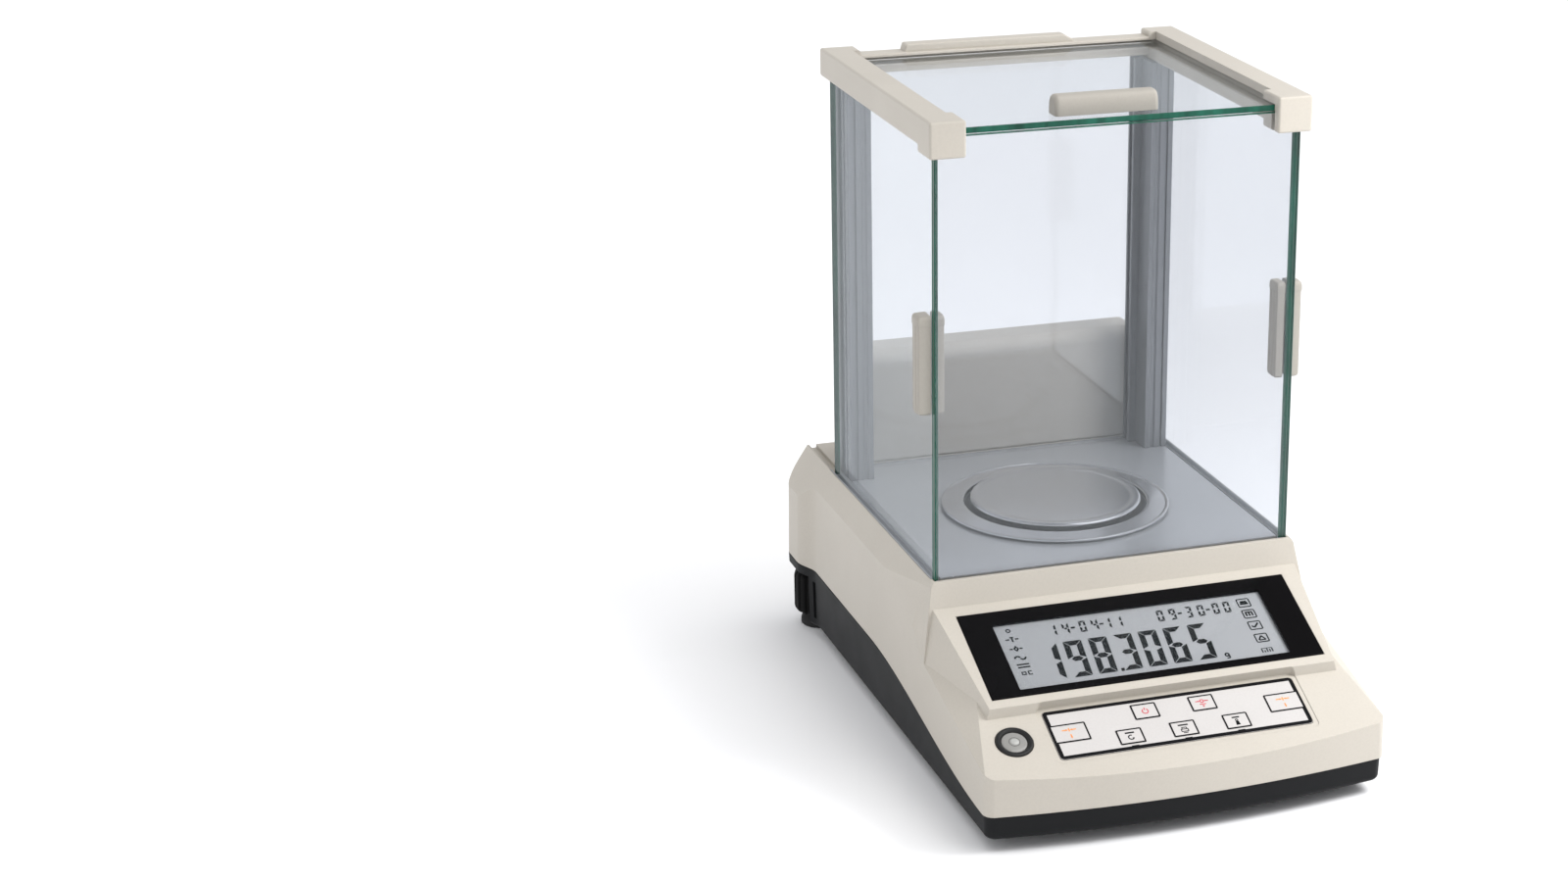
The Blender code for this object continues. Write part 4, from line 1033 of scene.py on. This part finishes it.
def build_display(m):
    outline = rounded_rectangle(BEZEL_HALF, BEZEL_TALL / 2, 0.8, 3, (0, BEZEL_TALL / 2))
    bezel = make_object("display_frame", prism(outline, -1.2, 0.45), m["gloss_black"], **DISPLAY_FRAME)
    bevel(bezel, 0.35, 3, 40)
    wx, ws = sum(WINDOW_X) / 2, sum(WINDOW_S) / 2
    half_x, half_s = (WINDOW_X[1] - WINDOW_X[0]) / 2, (WINDOW_S[1] - WINDOW_S[0]) / 2
    opening = rounded_rectangle(half_x, half_s, 0.5, 3, (wx, ws))
    cut(bezel, prism(opening, -5, 5), "bezel_window", **DISPLAY_FRAME)
    place(settle(bezel), "base", "gloss_black", "display_bezel")

    pane_outline = rounded_rectangle(half_x - 0.2, half_s - 0.2, 0.4, 3, (wx, ws))
    piece("display_pane", prism(pane_outline, -0.5, 0.15), m["clear"], "base", "clear", "display_window",
          at=DISPLAY_FRAME)

    outline = rounded_rectangle(half_x + 4.8, half_s + 1.6, 0.6, 2, (wx, ws + 1.2))
    module = make_object("lcd_body", prism(outline, -7, -1.55), m["lcd_frame"], **DISPLAY_FRAME)
    bevel(module, 0.3, 2, 40)
    place(settle(module), "base", "lcd", "lcd_module")
    face = box((WINDOW_X[0] - 2, WINDOW_X[1] + 2), (WINDOW_S[0] - 0.9, WINDOW_S[1] + 2), (-1.5, -1.3))
    piece("lcd_glass", face, m["lcd"], "base", "lcd", at=DISPLAY_FRAME)
    build_segments(m)


def build_segments(m):
    """Digits and marks of the liquid-crystal panel."""
    dark, soft = [], []
    x = -55.6
    for symbol in "1983065":
        dark += digit(symbol, x, 8.6, 9.7, 24.4, 3.1, 2.0, 0.07)
        x += 13.25
    dark.append([(-17.6, 8.4), (-15.8, 8.4), (-15.6, 10.4), (-17.4, 10.4)])
    small = {"tall": 7.6, "thick": 1.15, "slant": 0.6}
    for text, starts in (("14-04-11", (-44.4, -37.6, -33.2, -28.6, -22.2, -18.0, -15.4, -9.4)),
                         ("09-30-00", (13.0, 19.6, 24.2, 28.4, 35.0, 39.5, 43.2, 49.2))):
        for symbol, start in zip(text, starts):
            dark += digit(symbol, start, 37.9, 2.2 if symbol == "-" else 3.5, **small)
    left = -64.6
    dark += [circle(left - 0.2, 45.2, 1.0, 0.75)]
    dark += [bar(left - 3.4, 39.2, left - 1.5, 39.2, 0.85), bar(left + 1.5, 39.2, left + 3.4, 39.2, 0.85),
             bar(left - 1.0, 40.5, left + 1.0, 40.5, 0.85), bar(left, 40.4, left, 37.4, 0.95)]
    dark += [bar(left - 3.4, 32.6, left - 1.7, 32.6, 0.85), bar(left + 1.7, 32.6, left + 3.4, 32.6, 0.85),
             circle(left, 32.6, 0.9, 0.85), bar(left, 34.6, left, 33.6, 0.85), bar(left, 31.6, left, 30.85, 0.85)]
    dark += [arc(left - 1.3, 26.0, 1.4, 180, 20, 1.0), arc(left + 1.4, 26.6, 1.4, 200, 360, 1.0)]
    dark += [bar(left - 3.2, 21.8, left + 3.2, 21.8, 0.95), bar(left - 3.2, 19.9, left + 3.2, 19.9, 0.95)]
    soft += [frame_line(1.3, 1.2, 0.2, 0.7, (left - 1.4, 15.8), 1), bar(left + 0.95, 17.0, left + 0.95, 14.6, 0.7),
             bar(left + 0.95, 16.9, left + 2.8, 16.9, 0.7), bar(left + 0.95, 14.7, left + 2.8, 14.7, 0.7)]
    dark += [circle(39.0, 9.6, 0.95, 0.85, 18), bar(39.95, 10.4, 39.95, 7.4, 0.85), bar(38.3, 7.3, 40.1, 7.3, 0.75)]
    right = 61.0
    for s in (43.0, 35.0, 26.7, 17.7):
        dark.append(frame_line(3.6, 3.1, 0.9, 0.7, (right, s), 2))
    dark += [[(58.6, 41.8), (63.4, 41.8), (62.6, 44.4), (59.4, 44.4)]]
    dark += [bar(59.4, 33.6, 59.4, 36.2, 0.95), bar(61.0, 33.6, 61.0, 36.2, 0.95), bar(62.6, 33.6, 62.6, 36.2, 0.95),
             bar(59.0, 36.3, 63.0, 36.3, 0.85)]
    dark += stroke([(59.0, 26.6), (60.3, 25.4), (62.9, 28.2)], 0.95)
    dark += stroke([(59.2, 16.4), (61.0, 19.2), (62.8, 16.4)], 0.85) + [bar(59.2, 16.3, 62.8, 16.3, 0.75)]
    for k, tall in enumerate((2.6, 1.4, 2.6, 2.0, 2.6)):
        soft.append(bar(57.9 + 1.35 * k, 7.6, 57.9 + 1.35 * k, 7.6 + tall, 0.75))
    soft.append(bar(57.7, 10.4, 63.5, 10.4, 0.4))
    for name, shapes, key in (("lcd_digits", dark, "segment"),
                              ("lcd_marks_soft", soft, "segment_soft")):
        obj = marks(name, shapes, m[key], DISPLAY_FRAME, -1.32, -1.26)
        place(settle(obj, 30, False), "base", "lcd")


def build_keypad(m):
    sheet = rounded_rectangle(KEYPAD_HALF, KEYPAD_HALF_S, 1.9, 5, KEYPAD_CENTRE)
    film = make_object("keypad_sheet", prism(sheet, -0.8, 0.02), m["film"], **KEYPAD_FRAME)
    bevel(film, 0.12, 2, 50)
    for name, (x, s, wide, tall) in KEYS.items():
        hole = prism(rounded_rectangle(wide / 2, tall / 2, 0.7, 3, (KEYPAD_X + x, s)), -4, 4)
        cut(film, hole, name + "_gap", **KEYPAD_FRAME)
    place(settle(film), "base", "film", "keypad_overlay")

    black = [frame_line(KEYPAD_HALF - 0.05, KEYPAD_HALF_S - 0.05, 2.0, 2.05, KEYPAD_CENTRE)]
    for name in ("unit_key", "print_key", "calibrate_key"):
        x, s, wide, tall = KEYS[name]
        below = s - tall / 2 - 1.2
        black.append(bar(KEYPAD_X + x - 1.6, below, KEYPAD_X + x + 2.2, below, 0.6))
    for name, inward in (("left_tare_key", 1), ("right_tare_key", -1)):
        x, s, wide, tall = KEYS[name]
        start = KEYPAD_X - inward * (KEYPAD_HALF - 0.5)
        end = KEYPAD_X + x - inward * (wide / 2 - 0.25)
        for level in (s - tall / 2 - 0.2, s + tall / 2 + 0.2):
            black.append(bar(start, level, end, level, 0.6))
    obj = marks("keypad_print", black, m["ink_black"], KEYPAD_FRAME, 0.0, 0.05)
    place(settle(obj, 30, False), "base", "film")
    for name in KEYS:
        build_key(m, name)


def key_icons(name):
    """Generic line icons: which ink, and the strokes, centred on the key."""
    w = 0.62
    zero = [circle(0, 1.1, 0.9, w), bar(-3.4, 1.1, -1.7, 1.1, w), bar(1.7, 1.1, 3.4, 1.1, w),
            triangle(-1.6, 1.1, 0.75, 0), triangle(1.6, 1.1, 0.75, 180)]
    if name == "power_key":
        return "ink_red", [arc(0, -0.1, 1.5, 125, 415, w, 22), bar(0, 0.6, 0, 2.1, w)]
    if name == "mode_key":
        return "ink_red", zero + [triangle(0, -2.2, 0.9, -90), bar(-1.7, -0.9, 1.7, -0.9, w)]
    if name.endswith("tare_key"):
        return "ink_orange", [bar(-3.6, 1.9, -1.2, 1.9, 0.7), bar(1.2, 1.9, 3.6, 1.9, 0.7), bar(0, 3.0, 0, 0.8, 0.7),
                              triangle(-1.1, 1.9, 0.8, 0), triangle(1.1, 1.9, 0.8, 180),
                              bar(0, -1.0, 0, -3.0, 0.7), triangle(0, -3.0, 0.8, -90)]
    if name == "unit_key":
        return "ink_black", [bar(-2.4, 2.2, 2.4, 2.2, 0.9), arc(0, -0.7, 1.35, 60, 330, w, 18),
                             triangle(1.0, -1.5, 0.75, -100)]
    if name == "print_key":
        return "ink_black", [bar(-2.6, 2.2, 2.6, 2.2, 0.9), frame_line(2.0, 1.0, 0.3, 0.5, (0, -1.2), 1),
                             bar(-1.2, 0.6, 1.2, 0.6, 0.5), bar(-1.2, -0.2, -1.2, 0.7, 0.5),
                             bar(1.2, -0.2, 1.2, 0.7, 0.5), bar(-1.2, -2.8, 1.2, -2.8, 0.5)]
    return "ink_black", [bar(-2.0, 2.2, 2.0, 2.2, 0.9), circle(0, 0.4, 0.6, 0.5, 16),
                         [(-1.1, -2.8), (1.1, -2.8), (0.8, -0.4), (-0.8, -0.4)]]


def build_key(m, name):
    x, s, wide, tall = KEYS[name]
    spot = keypad_spot(KEYPAD_X + x, s)
    half_x, half_s = wide / 2 - KEY_GAP, tall / 2 - KEY_GAP
    rows = []
    for z, inset in ((-0.5, 0.0), (-0.05, 0.0), (0.08, 0.06), (0.15, 0.2), (0.17, 0.6)):
        outline = rounded_rectangle(half_x - inset, half_s - inset, max(0.75 - inset, 0.15), 4)
        rows.append([(u, v, z) for u, v in outline])
    piece(name + "_cap", loft(rows), m["film"], name, "film", name, at=spot)
    border = [frame_line(half_x - 0.02, half_s - 0.02, 0.75, 0.8)]
    colour, icon = key_icons(name)
    for word, shapes, look, low in (("_outline", border, "ink_black", 0.1), ("_icon", icon, colour, 0.12)):
        place(settle(marks(name + word, shapes, m[look], spot, low, 0.2), 30, False), name, "film")


def build_level(m):
    """The bubble level: its ring, the domed vial, the printed circle and the bubble."""
    at = keypad_spot(LEVEL_X, LEVEL_S)
    inner = VIAL_R + 0.2
    ring = rounded_profile([(inner, -2, 0), (LEVEL_R, -2, 0), (LEVEL_R, 0.9, 0.7), (inner + 0.9, 1.0, 0.5),
                            (inner, 0.1, 0.1), (inner, -2, 0)], 0.3)[:-1]
    piece("level_collar", turned(ring), m["trim_black"], "base", "trim_black", "level_ring", at=at)
    dome = [(0, -11), (VIAL_R, -11), (VIAL_R, -0.2), (VIAL_R * 0.96, 0.05), (VIAL_R * 0.8, 0.2),
            (VIAL_R * 0.55, 0.32), (VIAL_R * 0.3, 0.39), (0, 0.42)]
    piece("level_glass", turned(dome), m["vial"], "base", "vial", "level_vial", at=at, angle=50)
    line = marks("level_mark", [circle(0, 0, 2.7, 0.14, 48)], m["ink_black"], at, 0.3, 0.42)
    place(settle(line, 30, False), "base", "vial")
    bubble = [(0, -0.2), (2.2, -0.2), (2.1, 0.12), (1.6, 0.26), (0.9, 0.33), (0, 0.5)]
    piece("level_bubble", turned(bubble, 48), m["vial_bubble"], "base", "vial",
          at=keypad_spot(LEVEL_X + 0.3, LEVEL_S + 0.2, 0.3), angle=60)


# ==== Weighing chamber ====

def build_floor(m):
    front = GLASS_FRONT_Y + GLASS + 0.7
    sheet = box((-FLOOR_HALF, FLOOR_HALF), (front, CHAMBER_BACK_Y), (98.8, FLOOR_Z))
    plate = make_object("floor_sheet", sheet, m["floor_metal"])
    bevel(plate, 0.25, 2)
    cut(plate, disc(COLUMN_HOLE_R, 80, 110), "plate_hole", (0, PAN_Y, 0))
    place(settle(plate), "base", "floor_metal", "chamber_floor_plate")
    inner, outer = FLOOR_HALF + 0.3, TRACK_OUTER
    g0, g1 = GLASS_HALF - GLASS - GROOVE_GAP, GLASS_HALF + GROOVE_GAP
    top, low, deep = FLOOR_Z + 0.2, 96.9, 98.1
    section = [(inner, low), (outer, low), (outer, top - 0.2), (outer - 0.2, top), (g1 + 0.15, top),
               (g1, top - 0.15), (g1, deep), (g0, deep), (g0, top - 0.15), (g0 - 0.15, top),
               (inner + 0.1, top), (inner, top - 0.1)]
    for side, word in SIDES:
        track = prism([(side * x, z) for x, z in section], front, POST_Y[1] + 0.9, axis="Y")
        piece(f"track_{word}", track, m["track_metal"], "base", "aluminium", f"{word}_door_track",
              angle=20, weighted=False)


def turned_dish(m, name, profile, is_painted_shade):
    """A turned metal piece, with black faces as painted shade wherever the test gives true for a face's (radius, z,
    normal's z).
    """
    obj = make_object(name, turned(profile, 160), m["pan_metal"], (0, PAN_Y, 0))
    settle(obj, 40).data.materials.append(m["trim_black"])
    for face in obj.data.polygons:
        middle = face.center / MM
        if is_painted_shade(math.hypot(middle.x, middle.y), middle.z, face.normal.z):
            face.material_index = 1
    return obj


def build_pan(m):
    at = {"origin": (0, PAN_Y, 0)}
    # Painted shade: the ring's inner wall and its downward faces are black, for the shade in the gap and under its lip.
    ring = turned_dish(m, "shield_ring", rounded_profile([
        (49.4, 100.3, 0), (49.4, 101.4, 0), (57.0, 100.9, 0.3), (57.4, 100.3, 0.1), (58.6, 100.3, 0.15),
        (58.9, 100.9, 0.2), (60.0, 101.2, 0.2), (60.0, 102.2, 0.6), (58.9, 102.6, 0.5), (58.2, 102.0, 0.5),
        (49.6, 103.0, 0.5), (48.2, 102.9, 0.5), (48.2, 100.3, 0.1), (49.4, 100.3, 0),
    ], 0.3)[:-1], lambda r, z, up: r < 48.6 and z < 102.3 or up < -0.5)
    place(ring, "draft_ring", "pan_metal", "draft_ring")
    # Only for looks: a painted shadow, a thin black disc that darkens the gap between the pan and the ring
    shadow_profile = rounded_profile([(9.6, 100.03, 0), (47.8, 100.03, 0), (47.8, 100.22, 0.1), (9.6, 100.22, 0.1),
                           (9.6, 100.03, 0)], 0.1)[:-1]
    piece("pan_painted_shadow", turned(shadow_profile), m["trim_black"], "base", "trim_black", at=at)
    # Painted shade: the pan's underside and skirt are black, for the shade beneath the pan.
    pan = turned_dish(m, "pan_dish", rounded_profile([
        (0, 105.1, 0), (39.5, 105.1, 2.0), (41.8, 105.5, 0.9), (44.2, 105.45, 0.9), (45.0, 104.4, 0.7),
        (45.0, 103.25, 0.15), (44.3, 103.25, 0.1), (44.0, 104.0, 0.4), (41.0, 104.3, 1.0),
        (6.5, 104.2, 0.6), (6.5, 101.5, 0.2), (4.3, 101.5, 0.2), (4.3, 103.9, 0.2), (0, 103.9, 0),
    ], 0.4), lambda r, z, up: z < 104.75 and up < 0.25)
    place(pan, "pan", "pan_metal", "weighing_pan")
    column = rounded_profile([(0, 57.5, 0), (5, 57.5, 0.4), (5, 98, 0.3), (4, 99, 0.3), (4, 103.6, 0.6),
                              (0, 103.6, 0)], 0.4)
    piece("pan_column", turned(column, 48), m["steel"], "pan_carrier", "steel", "pan_support", at=at)


def pane(m, name, low, high, body, node, open_edges):
    """A ground pane: clear faces, green where its edge is in the open and clear where a frame holds it."""
    obj = make_object(name, box(*zip(low, high)), m["glass"])
    obj.data.materials.append(m["glass_edge"])
    bevel(obj, 0.4, 1)
    settle(obj, 20, False)
    obj.data.shade_flat()
    sizes = [high[i] - low[i] for i in range(3)]
    thin = sizes.index(min(sizes))
    for face in obj.data.polygons:
        seen = any(face.normal.dot(Vector(way)) > 0.5 for way in open_edges)
        face.material_index = 1 if seen and abs(face.normal[thin]) < 0.9 else 0
    obj.visible_shadow = False
    return place(obj, body, "glass", node)


def build_glass(m):
    front, left, right, back, up = (0, -1, 0), (-1, 0, 0), (1, 0, 0), (0, 1, 0), (0, 0, 1)
    inside_y = GLASS_FRONT_Y + GLASS
    pane(m, "pane_front", (-GLASS_HALF, GLASS_FRONT_Y, 98.2), (GLASS_HALF, inside_y, 323.6), "base", "front_glass",
         [left, right, up])
    for side, word in SIDES:
        x = span(side, GLASS_HALF - GLASS, GLASS_HALF)
        pane(m, f"pane_{word}", (x[0], inside_y + 0.4, 98.5), (x[1], 117.5, 320.5), f"{word}_door",
             f"{word}_door_glass", [front, back])
    top = pane(m, "pane_top", (-TOP_GLASS_HALF, GLASS_FRONT_Y + 0.6, TOP_GLASS_Z),
               (TOP_GLASS_HALF, 120.0, TOP_GLASS_Z + GLASS), "top_door", "top_door_glass", [front])
    # A seal on its rear edge keeps the slot in the rear bar closed to light
    top.data.materials.append(m["cream"])
    for face in top.data.polygons:
        if face.normal.y > 0.5:
            face.material_index = 2
    pane(m, "pane_rear", (-77.6, REAR_GLASS_Y[0], FLOOR_Z + 0.4), (77.6, REAR_GLASS_Y[1], REAR_BAR_BOTTOM_Z - 0.3),
         "base", "rear_glass", [])


def grip_section(depth, half, cap):
    """Half-round grip section standing on a pane: (out, along) points, with two flutes unless it is the cap."""
    points = [(0.0, -half), (depth * 0.35, -half)]
    steps = 24
    for i in range(steps + 1):
        t = -1 + 2 * i / steps
        out = depth * (0.78 + 0.22 * math.sqrt(max(0.0, 1 - t * t)))
        if not cap:
            out -= 0.55 * math.exp(-((abs(t) - 0.38) / 0.10) ** 2)
        points.append((out, half * (0.94 if abs(t) > 0.99 else 1) * t))
    points += [(depth * 0.35, half), (0.0, half)]
    return points


def row_box(node):
    """Lowest and highest corner of a CAD node, in row millimetres."""
    low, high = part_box(node)
    return low / MM, high / MM


def build_side_handle(m, name, side, start, depth, body, node):
    """A fluted grip standing out from x = start, with a rounded, slightly proud cap at its top."""
    low, high = row_box(node)
    y_mid, half = (low.y + high.y) / 2, (high.y - low.y) / 2
    bottom, top = low.z, high.z
    rows = []
    for z, size, cap in ((bottom, 0.80, False), (bottom + 0.5, 0.90, False), (bottom + 1.4, 0.95, False),
                         (top - 5.2, 0.95, False), (top - 5.0, 0.97, False), (top - 4.7, 1.0, True),
                         (top - 2.2, 1.0, True), (top - 1.0, 0.95, True), (top - 0.3, 0.84, True),
                         (top, 0.66, True)):
        section = grip_section(depth * size, half * size, cap)
        rows.append([(side * (start + out), y_mid + along, z) for out, along in section])
    piece(name, loft(rows), m["cream_grip"], body, "cream", node, angle=38)


def build_top_handle(m):
    """A pillow-shaped grip along X, which swells from either end."""
    low, high = row_box("top_door_handle")
    z0 = TOP_GLASS_Z + GLASS + 0.05
    tall = high.z - z0
    y_mid, half_y = (low.y + high.y) / 2, (high.y - low.y) / 2
    end_steps, arch_steps, end_reach, roundness = 10, 32, 2.4, 0.55
    turns = [math.pi / 2 * i / end_steps for i in range(end_steps + 1)]
    left = [(low.x + (1 - math.cos(a)) * end_reach, 0.70 + 0.30 * math.sin(a)) for a in turns]
    right = [(low.x + high.x - x, size) for x, size in reversed(left)]
    rows = []
    for x, size in left + right:
        row = []
        for k in range(arch_steps + 1):
            a = math.pi * k / arch_steps
            y = -math.copysign(abs(math.cos(a)) ** roundness, math.cos(a)) * half_y * size
            arch = 0.92 * abs(math.sin(a)) ** roundness * (0.25 + 0.75 * size)
            row.append((x, y_mid + y, z0 + tall * (arch + 0.08 * size * math.sin(a))))
        rows.append(row)
    piece("grip_top", loft(rows), m["cream_grip"], "top_door", "cream", "top_door_handle", angle=40)


def build_handles(m):
    for side, word in SIDES:
        door = f"{word}_door"
        build_side_handle(m, f"grip_{word}_outer", side, GLASS_HALF + 0.05, 7.2, door, f"{word}_outer_handle")
        build_side_handle(m, f"grip_{word}_inner", -side, -(GLASS_HALF - GLASS - 0.05), 4.5, door,
                          f"{word}_inner_handle")
    build_top_handle(m)


# ==== Top frame, posts, rear cover and connectors ====

def build_top_frame(m):
    rear = box((-FRAME_HALF + 2, FRAME_HALF - 2), REAR_BAR_Y, (REAR_BAR_BOTTOM_Z, REAR_STRIP_TOP_Z))
    body = make_object("top_mould", rear, m["cream"])
    bevel(body, 0.8, 3)
    for side, word in SIDES:
        x = span(side, RAIL_INNER, FRAME_HALF)
        long = box(x, (FRAME_FRONT_Y, FRAME_BACK_Y), (RAIL_BOTTOM_Z, FRAME_TOP_Z))
        rail = make_object(f"guide_{word}_rail", long)
        join(rail, box(x, (FRAME_FRONT_Y, BLOCK_BACK_Y), (BLOCK_BOTTOM_Z, FRAME_TOP_Z)), f"{word}_block")
        bevel(rail, 1.3, 4)
        combine(body, rail, "UNION")
    base_z = REAR_STRIP_TOP_Z - 1
    outline = [(-56.5, base_z), (41.0, base_z), (33.0, HUMP_TOP_Z), (-55.0, HUMP_TOP_Z)]
    hump = make_object("guide_hump", prism(outline, REAR_BAR_Y[0] + 2.0, REAR_BAR_Y[1] - 0.4, axis="Y"))
    bevel(hump, 0.9, 3)
    combine(body, hump, "UNION")
    slot = box((-TOP_GLASS_HALF - GROOVE_GAP, TOP_GLASS_HALF + GROOVE_GAP), (GLASS_FRONT_Y + 0.2, BIG),
               (TOP_GLASS_Z - SLOT_GAP, TOP_GLASS_Z + GLASS + SLOT_GAP))
    cut(body, slot, "glass_slot")
    opening = box((-LIP_INNER, LIP_INNER), (BLOCK_BACK_Y, REAR_BAR_Y[0] - 0.01), (TOP_GLASS_Z + 1, BIG))
    cut(body, opening, "lip_opening")
    front_y = (GLASS_FRONT_Y - SLOT_GAP, GLASS_FRONT_Y + GLASS + SLOT_GAP)
    for side, _ in SIDES:
        groove = span(side, GLASS_HALF - GLASS - GROOVE_GAP, GLASS_HALF + GROOVE_GAP)
        cut(body, box(groove, (GLASS_FRONT_Y + 1, BIG), (200, 321.1)), f"door_groove_{side}")
        painted_light_across = span(side, 60, GLASS_HALF + GROOVE_GAP)
        cut(body, box(painted_light_across, front_y, (200, TOP_GLASS_Z + 0.3)), f"front_slot_{side}")
    place(settle(body), "base", "cream", "top_frame")


def build_posts(m):
    """Extruded posts, with a rib and a groove along the front face and a slot for the rear pane."""
    y0, y1 = POST_Y
    outer, inner, rear = 91.3, 78.4, 74.1
    near, far = REAR_GLASS_Y[0] - SLOT_GAP, REAR_GLASS_Y[1] + SLOT_GAP
    right = [
        (outer, y0 + 0.3), (outer, y0 + 5.0), (outer - 1.2, y0 + 5.0), (outer - 1.2, y0 + 7.5),
        (outer, y0 + 7.5), (outer, y1 - 0.3), (outer - 0.3, y1), (rear, y1), (rear, far), (inner, far),
        (inner, near), (rear, near), (rear, near - 1.7), (rear + 0.3, near - 2.0), (inner, near - 2.0),
        (inner, y0 + 0.3), (inner + 0.3, y0), (80.0, y0), (81.0, y0), (81.8, y0 + 0.8), (83.4, y0 + 0.8),
        (84.2, y0), (86.9, y0), (87.3, y0 + 0.9), (88.2, y0 + 0.9), (88.5, y0), (outer - 0.3, y0),
    ]
    for side, word in SIDES:
        post = prism([(side * x, y) for x, y in right], FLOOR_Z + 0.1, RAIL_BOTTOM_Z - 0.1)
        piece(f"column_{word}", post, m["aluminium"], "base", "aluminium", f"{word}_rear_post",
              angle=18, weighted=False)


def rear_cover_profile(inset, low):
    radius = 7.0 - inset
    near, far = 124.3 + inset, 151.5 - inset
    top = 163.0 - inset
    points = [(near, low), (far, low)]
    for centre_y, start in ((far - radius, 0), (near + radius, 90)):
        for i in range(11):
            angle = math.radians(start + 90 * i / 10)
            points.append((centre_y + radius * math.cos(angle), top - radius + radius * math.sin(angle)))
    return points


def build_rear_cover(m):
    low, half = FLOOR_Z + 0.1, 82.0
    cover = make_object("cover_rear", prism(rear_cover_profile(0, low), -half, half, axis="X"), m["cream"])
    bevel(cover, 1.6, 4, 50)
    half -= 2.5
    cut(cover, prism(rear_cover_profile(2.5, low - 5), -half, half, axis="X"), "cover_hollow")
    for index in range(9):
        slot = prism(rounded_rectangle(1.5, 12, 1.4, 5, (-48 + 12 * index, 134)), 145, 160, axis="Y")
        cut(cover, slot, f"vent_{index}")
    place(settle(cover), "base", "cream", "rear_cover")


def soften_cad(name, material):
    """A CAD piece that stays: a better material, and small rounded edges."""
    obj = NODES[name]
    obj.data.materials.clear()
    obj.data.materials.append(material)
    obj.modifiers.new("weld", "WELD").merge_threshold = 0.00001
    bevel(obj, 0.25, 2, 40)
    obj.data.shade_smooth()
    obj.modifiers.new("normals", "WEIGHTED_NORMAL").keep_sharp = True


def build_kept_nodes(m):
    kept = {
        "data_port": "steel", "power_inlet": "trim_black",
        "weigh_cell_frame": "cast_metal", "weigh_lever": "aluminium",
        "force_coil": "copper", "magnet_pot": "steel", "main_board": "board", "display_board": "board",
        "keypad_board": "board", "power_module": "trim_black",
    }
    kept |= {f"housing_screw_{index}": "steel" for index in (1, 2, 3, 4)}
    for name, material in kept.items():
        soften_cad(name, m[material])


def main():
    build_stage()
    m = build_materials()
    for build in (build_upper_housing, build_lower_housing, build_feet, build_display, build_keypad, build_level,
                  build_floor, build_pan, build_glass, build_handles, build_top_frame, build_posts,
                  build_rear_cover, build_kept_nodes):
        build(m)


main()
